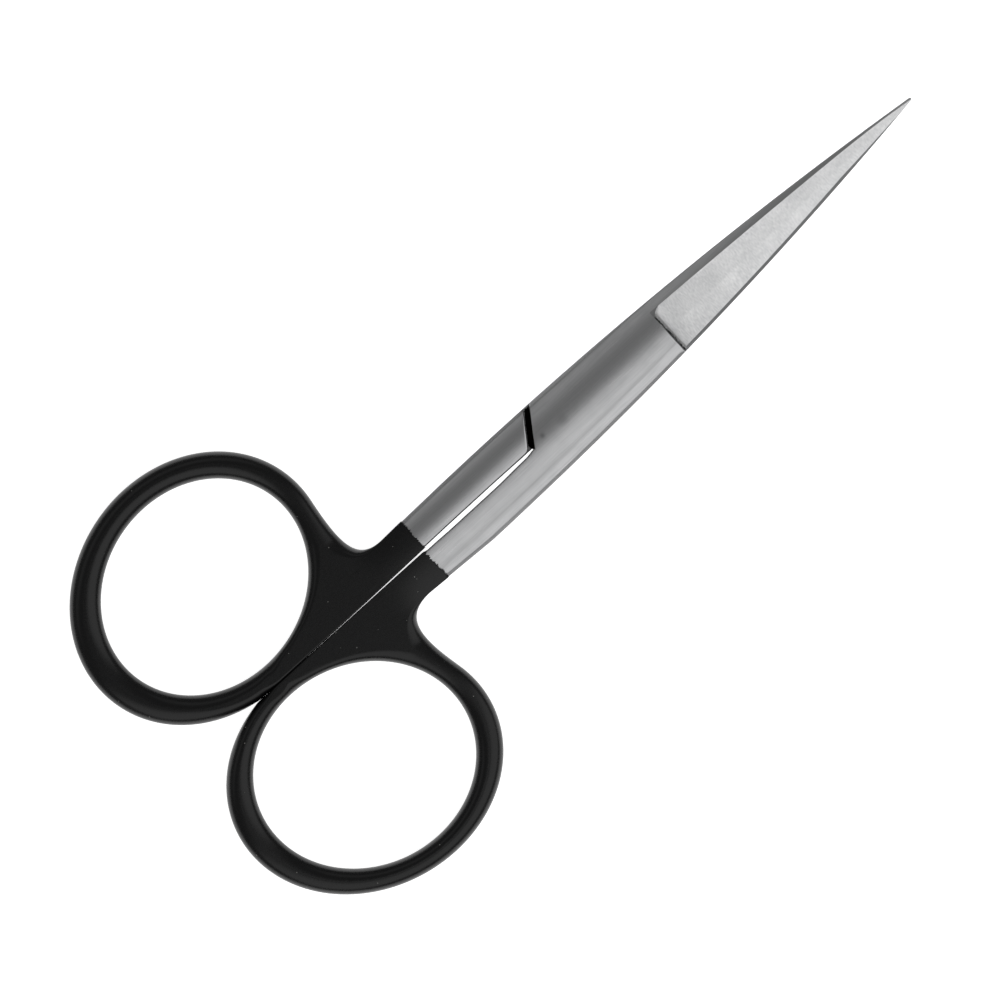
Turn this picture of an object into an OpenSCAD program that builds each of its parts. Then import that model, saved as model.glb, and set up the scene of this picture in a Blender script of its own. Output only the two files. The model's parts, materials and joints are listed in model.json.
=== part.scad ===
// Fine-point thread snips with two ring handles, closed, lying on their pivot screw.
// X runs from the pivot to the tips, Z up through the pivot, and sizes are in millimetres.
// The front half is on top in the joint and carries the -Y bow; the rear half carries the +Y bow.

/* [Blades and joint] */
// Pivot to blade tips
tip_reach = 54; // [44:0.5:66]
// Half the width of the closed pair at its widest
half_wide = 4.38; // [3.6:0.02:5.3]
// How far behind the pivot the pair is widest
widest_back = 12.7; // [9:0.1:16]
// Half the width left at the tips
tip_half = 0.16; // [0.12:0.01:0.3]
// Thickness of one half at the ridge of the joint
ridge_thick = 1.95; // [1.6:0.05:2.4]
// Radius of the crowned outer faces
crown_radius = 10.2; // [8:0.1:13]
// Where the blades start to thin, ahead of the pivot
taper_start = 10; // [8:0.5:14]
// Thickness of one half left at the tip
tip_thick = 0.206; // [0.17:0.002:0.3]
// Play between the two inner faces
ride_play = 0.06; // [0.04:0.01:0.1]

/* [Ground faces] */
// Where the ground face begins, ahead of the pivot
ground_start = 15.3; // [12:0.1:19]
// Thickness left at the cutting edge where the ground face begins
edge_thick = 0.2; // [0.1:0.01:0.3]
// Slope of the ground face across the blade, in degrees
ground_angle = 12.9; // [10:0.1:15]
// Height of the ground face above the inner face at the tip, midway across the blade
ground_tip = 0.174; // [0.1:0.002:0.25]
// Radius of the wheel that ground it
wheel_radius = 60; // [40:1:90]
// Corner radius of that wheel
wheel_corner = 0.9; // [0.5:0.05:1.5]
// How far each cutting edge stands back from the other blade's spine
edge_setback = 0.4; // [0.3:0.02:0.5]
// Slant of the cutting bevel, in degrees from upright
edge_bevel = 30; // [20:1:40]
// Depth of the hollow in each inner face
hollow_depth = 0.12; // [0.06:0.01:0.15]
// Where that hollow begins, ahead of the pivot
hollow_start = 9; // [7:0.5:12]

/* [Shoulders] */
// How far the blade's shoulder face lies inside the widest half-width
shoulder_inset = 0.34; // [0.2:0.02:0.5]
// Gap left between the two shoulder faces
shoulder_gap = 0.68; // [0.6:0.02:0.9]
// Lean of the shoulders, in degrees
shoulder_lean = 35.5; // [30:0.5:40]
// How far the blade's corner swings outside its shoulder face
corner_swing = 0.5; // [0.4:0.02:0.56]
// Half the gap between the bare shanks
shank_gap = 0.17; // [0.14:0.01:0.22]
// Angle between the parting line and the blades, in degrees
parting_lean = 0.45; // [0:0.05:0.6]

/* [Rear bow] */
// Pivot back to the middle of the finger hole
rear_back = 43.33; // [40:0.1:48]
// Middle of the finger hole out from the parting line
rear_out = 14.2; // [13:0.1:16]
// Half the length of the finger hole
rear_long = 13.06; // [11:0.1:14]
// Half the width of the finger hole
rear_across = 11.33; // [9.6:0.1:12]
// Tilt of the finger hole, in degrees
rear_tilt = 11.3; // [8:0.5:18]
// Bar width at the front of the bow
rear_bar_front = 2.9; // [2.6:0.05:3.5]
// Bar width at the side of the bow
rear_bar_side = 3; // [2.5:0.05:3.6]
// Bar width at the far end of the bow
rear_bar_end = 3.5; // [3:0.05:4.2]
// Half-width of the coated neck
rear_neck = 4.36; // [3.6:0.02:4.6]

/* [Front bow] */
// Pivot back to the middle of the finger hole
front_back = 43.8; // [40:0.1:48]
// Middle of the finger hole out from the parting line
front_out = 13.2; // [12.8:0.1:16]
// Half the length of the finger hole
front_long = 13.16; // [11:0.1:14]
// Half the width of the finger hole
front_across = 11.59; // [9.6:0.1:12]
// Tilt of the finger hole, in degrees
front_tilt = 15.5; // [8:0.5:18]
// Bar width at the front of the bow
front_bar_front = 2.95; // [2.6:0.05:3.5]
// Bar width at the side of the bow
front_bar_side = 2.55; // [2.3:0.05:3.2]
// Bar width at the far end of the bow
front_bar_end = 3.35; // [3:0.05:4.2]
// Half-width of the coated neck
front_neck = 3.8; // [3.4:0.02:4.6]

/* [Coating] */
// Thickness of the coated bows
bow_thick = 2.9; // [2.5:0.05:3.5]
// Coating on the shanks
coat = 0.12; // [0.1:0.01:0.16]
// Coating on the steel inside the bows
bow_coat = 0.2; // [0.15:0.01:0.3]
// Pivot back to the edge of the coating
coat_edge = 21.9; // [20:0.1:24]
// Where the shanks start to narrow to the necks, behind the pivot
waist_back = 15.5; // [13:0.1:18]
// Where the neck turns out to the bow, behind the pivot
neck_back = 24.9; // [24:0.1:26.5]

/* [Pivot screw] */
// Diameter of the screw
screw_diameter = 2.6; // [2:0.05:3.1]
// Running clearance in the rear half, each side
screw_play = 0.04; // [0.02:0.01:0.08]
// Diameter of the screw head
head_diameter = 5.6; // [4.8:0.1:5.8]
// Height of the head above the rear half
head_proud = 0.55; // [0.45:0.05:0.8]
// Depth of the head's seat in the rear half
head_sunk = 0.4; // [0.3:0.02:0.55]
// Play between the head and its seat, all round
head_play = 0.3; // [0.2:0.05:0.5]
// Width of the driver slot
slot_wide = 0.8; // [0.6:0.05:1]
// Depth of the driver slot
slot_deep = 0.45; // [0.3:0.05:0.6]

/* [Hidden] */
$fn = 128;
// Lengths that reach past the whole pair, and past its thickness
far = 160;
deep = 4;
// Overlap of shapes that are joined face to face
seam = 0.001;
// Height of the plane in which the two inner faces meet
mid = ridge_thick + head_proud;
// Radius of the long arcs that bound the closed pair
edge_drop = half_wide - tip_half;
edge_arc = (pow(tip_reach + widest_back, 2) + edge_drop * edge_drop) / (2 * edge_drop);
// Height of the ground face above the inner face where it begins, midway across the blade
edge_reach = half_at(ground_start) - edge_setback;
ground_sag = pow(edge_reach / cos(ground_angle), 2) / (2 * wheel_radius);
ground_height = edge_thick + edge_reach * tan(ground_angle) - ground_sag;
// Slope of the thinning blades and fall of the ground faces toward the tip
taper_angle = atan((ridge_thick - tip_thick) / (tip_reach - taper_start));
ground_fall = atan((ground_height - ground_tip) / (tip_reach - ground_start));
// Pivot to the shoulder face of the blade
shoulder_reach = half_wide - shoulder_inset;
// How far the shank's crown runs back under the coating, and how it sinks below the bow's faces there
crown_back = 34;
sink_start = 20;
sink_below = 0.15;
sink_angle = atan((ridge_thick - bow_thick / 2 + sink_below) / (crown_back - sink_start));
// Length over which a shank narrows, and how far off its outline the cut starts
waist_long = 11.5;
waist_off = 0.03;
// Coated half-gap and the rounding of the coated edges along it
coat_gap = shank_gap - coat;
split_round = 0.4;
// How far the rounded skin lies inside the coat of the shank, at its side and at the gap
skin_side = 0.03;
skin_gap = 0.01;
// How far the skin runs ahead of the coating's edge before it is cut there
skin_lead = 3;
// Share of the bar's width and thickness that the edge rounding takes, and its share at the hole
wide_share = 0.48;
thick_share = 0.43;
hole_share = 0.95;
// Direction, from the axis of the pair, of the point at which a neck joins its bow
neck_joins = -5;
// Shape of the neck's curve: its lead past that point, and its pull along the bow
neck_lead = 0.95;
neck_pull = 0.66;
// Where a bow meets the parting face, behind the middle of its hole, and the lowest it can meet it
foot_back = 5;
foot_limit = -0.999;
// Steps of the rounded bow surfaces
round_steps = 4;
hole_steps = 40;
ring_steps = 36;
bar_steps = 12;
neck_steps = 12;
neck_cut = 3;
split_steps = 6;
foot_steps = 8;
// Coating on the flats, the hole's edge and the neck's edge of a web, and its slant at the neck
web_flat = 0.25;
web_hole = 0.5;
web_neck = 0.35;
web_slant = [2.3, 2.75];
web_in = 0.1;
// Play under the screw's head and the chamfer of its rim
head_lift = 0.03;
head_chamfer = 0.2;
// Values of one bow: back, out, long, across, tilt, bar front, side, end, neck, lean of its parting face
REAR = [
    rear_back, rear_out, rear_long, rear_across, rear_tilt,
    rear_bar_front, rear_bar_side, rear_bar_end, rear_neck, -parting_lean
];
FRONT = [
    front_back, front_out, front_long, front_across, front_tilt,
    front_bar_front, front_bar_side, front_bar_end, front_neck, parting_lean
];
steel = [0.78, 0.79, 0.8];
black = [0.06, 0.06, 0.065];

// Half-width of the closed pair at a distance x from the pivot
function half_at(x) = half_wide - edge_arc + sqrt(edge_arc * edge_arc - pow(x + widest_back, 2));
// Outer half-length, half-width and centre of a bow
function out_long(b) = b[2] + (b[5] + b[7]) / 2;
function out_across(b) = b[3] + b[6];
function out_mid(b) = [-b[0] - (b[7] - b[5]) / 2, b[1]];
// A point of a tilted ellipse
function oval(c, long, across, tilt, a) = [
    c[0] + long * cos(a) * cos(tilt) - across * sin(a) * sin(tilt),
    c[1] + long * cos(a) * sin(tilt) + across * sin(a) * cos(tilt)
];
// Height of the parting face of a bow at x
function parting(b, gap, x) = gap / cos(b[9]) + x * tan(b[9]);
// Ellipse angles at which the bow leaves the neck and meets the parting face
function from_neck(b) =
    let(turn = neck_joins - b[4])
    atan2(out_long(b) * sin(turn), out_across(b) * cos(turn));
function to_parting(b) =
    let(
        rise = out_long(b) * sin(b[4]),
        run = out_across(b) * cos(b[4]),
        level = parting(b, coat_gap, -b[0] - foot_back) - b[1],
        q = max(level / norm([rise, run]), foot_limit)
    )
    180 - asin(q) - atan2(rise, run);
function curve(p0, p1, p2, p3, t) =
    pow(1 - t, 3) * p0 + 3 * t * pow(1 - t, 2) * p1 + 3 * t * t * (1 - t) * p2 + pow(t, 3) * p3;
function unit(v) = v / norm(v);
function blend(a, b, t) = a + (b - a) * min(max(t, 0), 1);

// Radius of the rounded edges of a bow
function bar_round(b) = min(wide_share * min(b[6], b[5]), thick_share * bow_thick);
// Edge of a finger hole, running so that the bar lies on its left, as [x, y, rounding]
function hole_edge(b) = [
    for (i = [0:hole_steps - 1])
        let(p = oval([-b[0], b[1]], b[2], b[3], b[4], -360 * i / hole_steps))
        [p[0], p[1], hole_share * bar_round(b)]
];
// Outer edge of a coated handle, running so that the handle lies on its left, as [x, y, rounding].
// It follows the parting face to the neck, goes round the shank, turns out to the bow and runs round it
function handle_edge(b) =
    let(
        a0 = from_neck(b),
        a1 = to_parting(b),
        foot = oval(out_mid(b), out_long(b), out_across(b), b[4], a1),
        front = skin_lead - coat_edge,
        start = [-neck_back, b[8] - skin_side],
        end = oval(out_mid(b), out_long(b), out_across(b), b[4], a0),
        past = oval(out_mid(b), out_long(b), out_across(b), b[4], a0 + 1),
        lead = [end[0] - neck_lead, start[1]],
        trail = end - neck_pull * (end[1] - start[1]) * unit(past - end),
        turn = curve(start, lead, trail, end, neck_cut / neck_steps)
    )
    concat(
        [
            for (i = [1:split_steps])
                let(x = blend(foot[0], turn[0], i / split_steps))
                [x, parting(b, coat_gap + skin_gap, x), split_round]
        ],
        [
            [front, parting(b, coat_gap + skin_gap, front), split_round],
            [front, start[1], split_round]
        ],
        [
            for (i = [0:neck_steps - 1])
                let(p = curve(start, lead, trail, end, i / neck_steps))
                [p[0], p[1], blend(split_round, bar_round(b), i / neck_steps)]
        ],
        [
            for (i = [0:ring_steps])
                let(p = oval(out_mid(b), out_long(b), out_across(b), b[4], blend(a0, a1, i / ring_steps)))
                [p[0], p[1], blend(bar_round(b), split_round, 1 + (i - ring_steps) / foot_steps)]
        ]
    );
// Direction into the material at point i of a closed edge
function inward(e, i) =
    let(
        n = len(e),
        a = e[(i + n - 1) % n],
        c = e[(i + 1) % n],
        t = unit([c[0] - a[0], c[1] - a[1]])
    )
    [-t[1], t[0]];
// One level of a rounded edge: side is -1 below and 1 above, turn is 0 at the widest and 90 at the flat
function level(e, side, turn) = [
    for (i = [0:len(e) - 1])
        let(
            p = e[i],
            d = p[2] * (1 - cos(turn)),
            v = inward(e, i)
        )
        [p[0] + v[0] * d, p[1] + v[1] * d, side * (bow_thick / 2 - p[2] + p[2] * sin(turn))]
];
function levels(e) = concat(
    [for (k = [round_steps:-1:0]) each level(e, -1, 90 * k / round_steps)],
    [for (k = [0:round_steps]) each level(e, 1, 90 * k / round_steps)]
);
function walls(n, first) = [
    for (j = [0:2 * round_steps])
        for (i = [0:n - 1])
            let(
                a = first + j * n + i,
                b = first + j * n + (i + 1) % n
            )
            each [[a, a + n, b + n], [a, b + n, b]]
];

// Plan of the closed pair, grown all round
module plan(grow) {
    intersection() {
        translate([-widest_back, half_wide - edge_arc])
            circle(r = edge_arc + grow, $fn = 256);
        translate([-widest_back, edge_arc - half_wide])
            circle(r = edge_arc + grow, $fn = 256);
        translate([-crown_back, -far])
            square([crown_back + tip_reach, 2 * far]);
    }
}

// Round bar along X whose top line passes through the origin
module crown_bar(grow) {
    translate([-far, 0, -crown_radius])
        rotate([0, 90, 0])
        cylinder(r = crown_radius + grow, h = 2 * far);
}

// The crown over one face: level over the joint, thinning to the tip and sinking under the coating
module crown_top(grow) {
    intersection() {
        translate([0, 0, ridge_thick])
            crown_bar(grow);
        translate([taper_start, 0, ridge_thick])
            rotate([0, taper_angle, 0])
            crown_bar(grow);
        translate([-sink_start, 0, ridge_thick + grow])
            rotate([0, -sink_angle, 0])
            translate([-far, -far, -2 * far])
            cube(2 * far);
    }
}

// The closed pair as one body, crowned on both faces
module crowned(grow) {
    intersection() {
        translate([0, 0, -deep])
            linear_extrude(2 * deep)
            plan(grow);
        crown_top(grow);
        mirror([0, 0, 1])
            crown_top(grow);
    }
}

// The side of the shoulder line on which a blade lies
module blade_side(reach) {
    rotate(-shoulder_lean)
        translate([-reach, -far])
        square(2 * far);
}

// The side of the parting line on which a handle lies, in a half whose bow is at +Y
module handle_side(b, gap) {
    rotate(b[9])
        translate([-far, gap])
        square(2 * far);
}

// Material taken off the outer edge of the shank so that it meets the neck
module neck_waist(b, grow) {
    from = half_at(-waist_back) + waist_off;
    to = b[8] - coat;
    lean = atan((from - to) / waist_long);
    translate([-waist_back, from + grow])
        rotate(lean)
        translate([-far, 0])
        square(far);
}

// Takes the corner of the blade down to the circle in which it swings past the other half's shoulder
module swing_corner() {
    reach = shoulder_reach + corner_swing;
    difference() {
        translate([-2 * reach, reach / 2])
            square([2 * reach, 2 * reach]);
        circle(r = reach);
    }
}

// Layout of one half: its blade lies above the inner faces, its shank takes the full thickness
module half_layout(b) {
    translate([0, 0, ride_play / 2])
        linear_extrude(deep)
        difference() {
            union() {
                blade_side(shoulder_reach);
                mirror([0, 1])
                    handle_side(b, shank_gap);
            }
            swing_corner();
            mirror([0, 1])
                neck_waist(b, 0);
        }
    translate([0, 0, -deep])
        linear_extrude(2 * deep)
        mirror([0, 1])
        difference() {
            handle_side(b, shank_gap);
            blade_side(shoulder_reach + shoulder_gap);
            neck_waist(b, 0);
        }
}

// The wheel that grinds the outer face of a blade, with a rounded corner toward the joint
module grinding_wheel() {
    translate([ground_start, 0, ground_height])
        rotate([ground_angle, ground_fall, 0])
        translate([0, 0, wheel_radius])
        rotate([0, 90, 0])
        rotate_extrude($fn = 256) {
            translate([0, wheel_corner])
                square([wheel_radius, far]);
            square([wheel_radius - wheel_corner, 2 * wheel_corner]);
            translate([wheel_radius - wheel_corner, wheel_corner])
                circle(wheel_corner, $fn = 48);
        }
}

// Stock outside the cutting bevel, along the whole edge
module beyond_edge() {
    inside = edge_arc - edge_setback;
    difference() {
        translate([ground_start + wheel_corner, -far, -ride_play])
            cube([far, far, deep]);
        translate([-widest_back, edge_arc - half_wide, -2 * ride_play]) {
            cylinder(r = inside, h = 2 * ride_play + seam, $fn = 256);
            translate([0, 0, 2 * ride_play])
                cylinder(r1 = inside, r2 = inside - deep * tan(edge_bevel), h = deep, $fn = 256);
        }
    }
}

// The shallow hollow of an inner face, dying out at the tip
module inner_hollow() {
    translate([hollow_start, 0, ride_play / 2 + hollow_depth])
        rotate([0, atan(hollow_depth / (tip_reach - hollow_start)), 0])
        translate([0, 0, -wheel_radius])
        rotate([0, 90, 0])
        cylinder(r = wheel_radius, h = far, $fn = 256);
}

// Steel inside a bow: round bar bent to an oval
module bow_bar(b) {
    long = (b[2] + out_long(b)) / 2;
    across = (b[3] + out_across(b)) / 2;
    c = [(-b[0] + out_mid(b)[0]) / 2, b[1]];
    thick = b[6] / 2 - bow_coat;
    n = ring_steps;
    m = bar_steps;
    polyhedron(
        points = [
            for (i = [0:n - 1])
                let(
                    p = oval(c, long, across, b[4], 360 * i / n),
                    v = unit(oval([0, 0], across, long, b[4], 360 * i / n))
                )
                for (j = [0:m - 1])
                    let(r = thick * cos(360 * j / m))
                    [p[0] + r * v[0], p[1] + r * v[1], thick * sin(360 * j / m)]
        ],
        faces = [
            for (i = [0:n - 1])
                for (j = [0:m - 1])
                    let(
                        k = (i + 1) % n,
                        l = (j + 1) % m
                    )
                    each [[i * m + j, i * m + l, k * m + l], [i * m + j, k * m + l, k * m + j]]
        ],
        convexity = 6
    );
}

// Steel web between a bow and its shank
module web(b) {
    thick = bow_thick - 2 * web_flat;
    side = b[8] - web_neck;
    inner = -b[0] + b[2] + b[5] / 2 - web_in;
    translate([0, 0, -thick / 2])
        linear_extrude(thick)
        difference() {
            polygon([
                [-b[0], 0], [-neck_back, 0], [-neck_back, side], [inner + web_slant[0], side],
                [inner, side + web_slant[1]], [inner, b[1]], [-b[0], b[1]]
            ]);
            polygon([
                for (i = [0:hole_steps - 1])
                    oval([-b[0], b[1]], b[2] + web_hole, b[3] + web_hole, b[4], 360 * i / hole_steps)
            ]);
        }
}

// Steel of one half, its inner face at height 0, its blade above and its bow at -Y
module half(b) {
    difference() {
        intersection() {
            crowned(0);
            half_layout(b);
        }
        grinding_wheel();
        beyond_edge();
        inner_hollow();
    }
    mirror([0, 1, 0])
        intersection() {
            union() {
                bow_bar(b);
                web(b);
            }
            translate([0, 0, -deep])
                linear_extrude(2 * deep)
                handle_side(b, shank_gap);
        }
}

// Angle of a point round a finger hole, as the ellipse counts it
function hole_angle(b, p) =
    let(
        d = [p[0] + b[0], p[1] - b[1]],
        u = d[0] * cos(b[4]) + d[1] * sin(b[4]),
        w = d[1] * cos(b[4]) - d[0] * sin(b[4])
    )
    atan2(w / b[3], u / b[2]);
// Flat of a bow between the rim points in order and the hole, as triangles that face down
function flat(b, rim, order, base) =
    let(
        first = hole_angle(b, rim[order[0]]),
        count = len(order),
        turns = [
            for (k = [0:count])
                let(a = hole_angle(b, rim[order[k % count]]) - first)
                k == count ? 360 : (a + 360) % 360
        ],
        steps = [for (a = turns) round((a + first) * hole_steps / 360)]
    )
    [
        for (k = [0:count - 1])
            let(
                o = order[k],
                q = order[(k + 1) % count]
            )
            each concat(
                [[o, q, base + at_hole(steps[k])]],
                [for (j = [steps[k]:1:steps[k + 1] - 1]) [q, base + at_hole(j + 1), base + at_hole(j)]]
            )
    ];
function at_hole(j) = (2 * hole_steps - j) % hole_steps;

// Rounded outer surface of a coated bow and its web
module bow_skin(b) {
    rim = handle_edge(b);
    n = len(rim);
    tops = 2 * round_steps + 1;
    base = n * (tops + 1);
    neck = split_steps + 2;
    order = concat([for (i = [neck + neck_cut:n - 1]) i], [for (i = [0:split_steps - 1]) i]);
    corner = split_steps - 1;
    below = concat(
        flat(b, rim, order, base),
        [for (i = [corner + 1:neck + neck_cut - 1]) [corner, i, i + 1]]
    );
    above = [
        for (f = below)
            [for (i = [2:-1:0]) f[i] + tops * (f[i] < base ? n : hole_steps)]
    ];
    polyhedron(
        points = concat(levels(rim), levels(hole_edge(b))),
        faces = concat(walls(n, 0), walls(hole_steps, base), below, above),
        convexity = 8
    );
}

// Coating of one half, with its bow at -Y
module coating(b) {
    difference() {
        intersection() {
            mirror([0, 1, 0])
                union() {
                    bow_skin(b);
                    intersection() {
                        crowned(coat);
                        translate([0, 0, -deep])
                            linear_extrude(2 * deep)
                            difference() {
                                handle_side(b, coat_gap);
                                neck_waist(b, coat);
                            }
                    }
                }
            translate([-2 * far - coat_edge, -far, -far])
                cube(2 * far);
        }
        half(b);
    }
}

// Front steel half, tapped for the pivot screw
module front_blade() {
    color(steel)
        translate([0, 0, mid])
        difference() {
            half(FRONT);
            translate([0, 0, -deep])
                cylinder(d = screw_diameter, h = 2 * deep);
        }
}

// Rear steel half, bored to turn on the pivot screw and seated for its head
module rear_blade() {
    color(steel)
        translate([0, 0, mid])
        difference() {
            rotate([180, 0, 0])
                half(REAR);
            translate([0, 0, -deep])
                cylinder(d = screw_diameter + 2 * screw_play, h = 2 * deep);
            translate([0, 0, head_sunk - ridge_thick - deep])
                cylinder(d = head_diameter + 2 * head_play, h = deep);
        }
}

// Pivot screw: slotted head below, its end flush with the crowned front face
module pivot_screw() {
    seat = head_sunk - ridge_thick - head_lift;
    rim = head_diameter / 2;
    color(steel)
        translate([0, 0, mid])
        intersection() {
            difference() {
                rotate_extrude()
                    polygon([
                        [0, -mid], [rim - head_chamfer, -mid], [rim, head_chamfer - mid], [rim, seat],
                        [screw_diameter / 2, seat], [screw_diameter / 2, deep], [0, deep]
                    ]);
                translate([-far, -slot_wide / 2, slot_deep - mid - deep])
                    cube([2 * far, slot_wide, deep]);
            }
            translate([0, 0, ridge_thick])
                crown_bar(0);
        }
}

// Black coating on the front bow, web and shank
module front_bow_coating() {
    color(black)
        translate([0, 0, mid])
        coating(FRONT);
}

// Black coating on the rear bow, web and shank
module rear_bow_coating() {
    color(black)
        translate([0, 0, mid])
        rotate([180, 0, 0])
        coating(REAR);
}

front_blade();
rear_blade();
pivot_screw();
front_bow_coating();
rear_bow_coating();
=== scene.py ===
"""Fine-point thread snips: two steel halves in a lap joint, dipped bows and a pivot screw.

Pieces are drawn in millimetres and then put into the shared frame in metres: a steel half with its blade
above the inner face and its bow at -Y, a coat with its bow at +Y, and the screw as it stands.
"""

import json
import logging
import math
from dataclasses import dataclass
from enum import Enum
from functools import cached_property
from typing import Any, Callable

import bmesh
import bpy
from mathutils import Euler, Matrix, Vector, noise

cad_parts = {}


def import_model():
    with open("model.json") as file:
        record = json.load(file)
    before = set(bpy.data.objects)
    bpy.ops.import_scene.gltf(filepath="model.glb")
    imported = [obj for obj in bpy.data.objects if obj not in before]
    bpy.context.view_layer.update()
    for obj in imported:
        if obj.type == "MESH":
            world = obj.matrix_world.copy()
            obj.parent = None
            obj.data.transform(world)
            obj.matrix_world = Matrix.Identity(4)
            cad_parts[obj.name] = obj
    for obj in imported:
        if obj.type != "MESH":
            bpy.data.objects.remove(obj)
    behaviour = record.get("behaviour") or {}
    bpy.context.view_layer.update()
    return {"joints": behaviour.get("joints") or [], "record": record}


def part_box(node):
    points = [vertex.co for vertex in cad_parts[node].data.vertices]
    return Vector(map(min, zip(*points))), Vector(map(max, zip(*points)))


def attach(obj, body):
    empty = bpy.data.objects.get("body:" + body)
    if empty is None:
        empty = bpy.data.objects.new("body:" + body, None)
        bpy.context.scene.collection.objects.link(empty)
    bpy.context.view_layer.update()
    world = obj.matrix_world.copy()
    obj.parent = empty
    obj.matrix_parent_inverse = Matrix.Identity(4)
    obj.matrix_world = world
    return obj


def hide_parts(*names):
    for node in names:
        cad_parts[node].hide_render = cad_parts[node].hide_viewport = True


MM = 0.001
WELD = 1e-4  # millimetres within which two points of a mesh are one
ROW_WELD = 1e-3  # millimetres within which the rows of a grid run together
SLIVER = 1e-5  # millimetres below which an edge has no length
BLUNT = 0.12  # share of a chamfer's width over which its inner edge is blunted
ROUNDS = 4  # steps that settle where two lines cross
Rule = Callable[[int, int], Vector]
log = logging.getLogger("thread_snips")


class Side(Enum):
    """The half of the pair that a piece belongs to."""

    FRONT = "front"
    REAR = "rear"


class Lay(Enum):
    """The direction in which a steel face was ground or brushed."""

    LENGTHWISE = "lengthwise"
    CROSSWISE = "crosswise"


class Work(Enum):
    """What one shape does to another."""

    JOIN = "UNION"
    CUT = "DIFFERENCE"


class Face(Enum):
    """The finishes on a steel half, in the order of its material slots."""

    BRUSHED = 0
    GROUND = 1
    LAPPED = 2


def linear(code: str) -> tuple[float, float, float, float]:
    """Turns an sRGB hex colour into linear values.

    Args:
        code: six hex digits with a leading mark, such as "#808080".

    Returns:
        Linear red, green, blue and an alpha of 1.
    """
    parts = [int(code[i:i + 2], 16) / 255 for i in (1, 3, 5)]
    red, green, blue = (c / 12.92 if c <= 0.04045 else ((c + 0.055) / 1.055) ** 2.4 for c in parts)
    return red, green, blue, 1.0


def add_node(tree: bpy.types.NodeTree, kind: str, inputs: dict[Any, Any], **settings: Any) -> bpy.types.Node:
    """Adds a node with its settings and links.

    Args:
        tree: node tree to add to.
        kind: node type.
        inputs: value or output socket for each input, by its name or number.
        **settings: properties of the node.

    Returns:
        The new node.
    """
    node = tree.nodes.new(kind)
    for name, value in settings.items():
        setattr(node, name, value)
    for name, value in inputs.items():
        if isinstance(value, bpy.types.NodeSocket):
            tree.links.new(value, node.inputs[name])
        else:
            node.inputs[name].default_value = value
    return node


def smooth(t: float) -> float:
    """Eases from 0 to 1 as t does, flat at both ends and outside them."""
    t = min(max(t, 0.0), 1.0)
    return t * t * (3 - 2 * t)


def ease(x: float, span: tuple[float, float]) -> float:
    """Eases from 0 to 1 over a span, given by its start and its length, which is less than 0 to run back."""
    return smooth((x - span[0]) / span[1])


def settle(t: float) -> float:
    """Goes from 0 to 1 as t does, fast at first and flat at the end."""
    return 1 - (1 - min(max(t, 0.0), 1.0)) ** 3


def mix(a: float, b: float, t: float) -> float:
    """Goes from a to b as t goes from 0 to 1."""
    return a + (b - a) * t


def drop(distance: float, radius: float) -> float:
    """Depth of a rounded edge of that radius at a distance in from the edge.

    Args:
        distance: how far in from the edge.
        radius: radius of the rounding.

    Returns:
        How far the surface lies below the flat.
    """
    if distance >= radius:
        return 0.0
    return radius - math.sqrt(max(radius * radius - (radius - max(distance, 0.0)) ** 2, 0.0))


def chamfer(distance: float, wide: float, slope: float) -> float:
    """Depth of a flat chamfer, a little blunted where it begins, at a distance in from the edge.

    Args:
        distance: how far in from the edge.
        wide: width of the chamfer.
        slope: its fall for each unit of its width.

    Returns:
        How far the surface lies below the flat.
    """
    over = wide - max(distance, 0.0)
    blunt = BLUNT * wide
    return slope * (over + math.hypot(over, blunt)) / 2


def mapped_grid(bm: bmesh.types.BMesh, columns: int, rows: int, place: Rule) -> list[bmesh.types.BMFace]:
    """Adds a grid of quads whose points follow a rule.

    Args:
        bm: mesh to add to.
        columns: number of steps one way.
        rows: number of steps the other way.
        place: gives the point at a column and a row.

    Returns:
        The new faces.
    """
    made = bmesh.ops.create_grid(bm, x_segments=columns, y_segments=rows, size=1.0)["verts"]
    for vert in made:
        column = round((vert.co.x + 1) / 2 * columns)
        row = round((vert.co.y + 1) / 2 * rows)
        vert.co = place(column, row)
    return list({face for vert in made for face in vert.link_faces})


def steps(start: float, stop: float, count: int) -> list[float]:
    """Even steps from start up to, and without, stop."""
    return [mix(start, stop, i / count) for i in range(count)]


def turned_out(stop: float, depth: float, count: int) -> list[float]:
    """Steps out to a rounded edge, closest together at the edge, without the last one."""
    return [stop - depth * (1 - math.cos(math.pi / 2 * (1 - i / count))) for i in range(count)]


def new_piece(bm: bmesh.types.BMesh, name: str, place: Matrix, crease: float) -> bpy.types.Object:
    """Puts a finished mesh into the shared frame as an object at the origin.

    Args:
        bm: mesh in millimetres, freed here.
        name: name of the piece.
        place: where the mesh goes in the shared frame, still in millimetres.
        crease: angle in degrees above which an edge shows as sharp.

    Returns:
        The new object.
    """
    bmesh.ops.remove_doubles(bm, verts=bm.verts, dist=WELD)
    bmesh.ops.dissolve_degenerate(bm, edges=bm.edges, dist=SLIVER)
    bmesh.ops.transform(bm, matrix=Matrix.Scale(MM, 4) @ place, verts=bm.verts)
    bmesh.ops.recalc_face_normals(bm, faces=bm.faces)
    for face in bm.faces:
        face.smooth = True
    mesh = bpy.data.meshes.new(name)
    bm.to_mesh(mesh)
    bm.free()
    mesh.set_sharp_from_angle(angle=math.radians(crease))
    piece = bpy.data.objects.new(name, mesh)
    bpy.context.scene.collection.objects.link(piece)
    return piece


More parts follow.
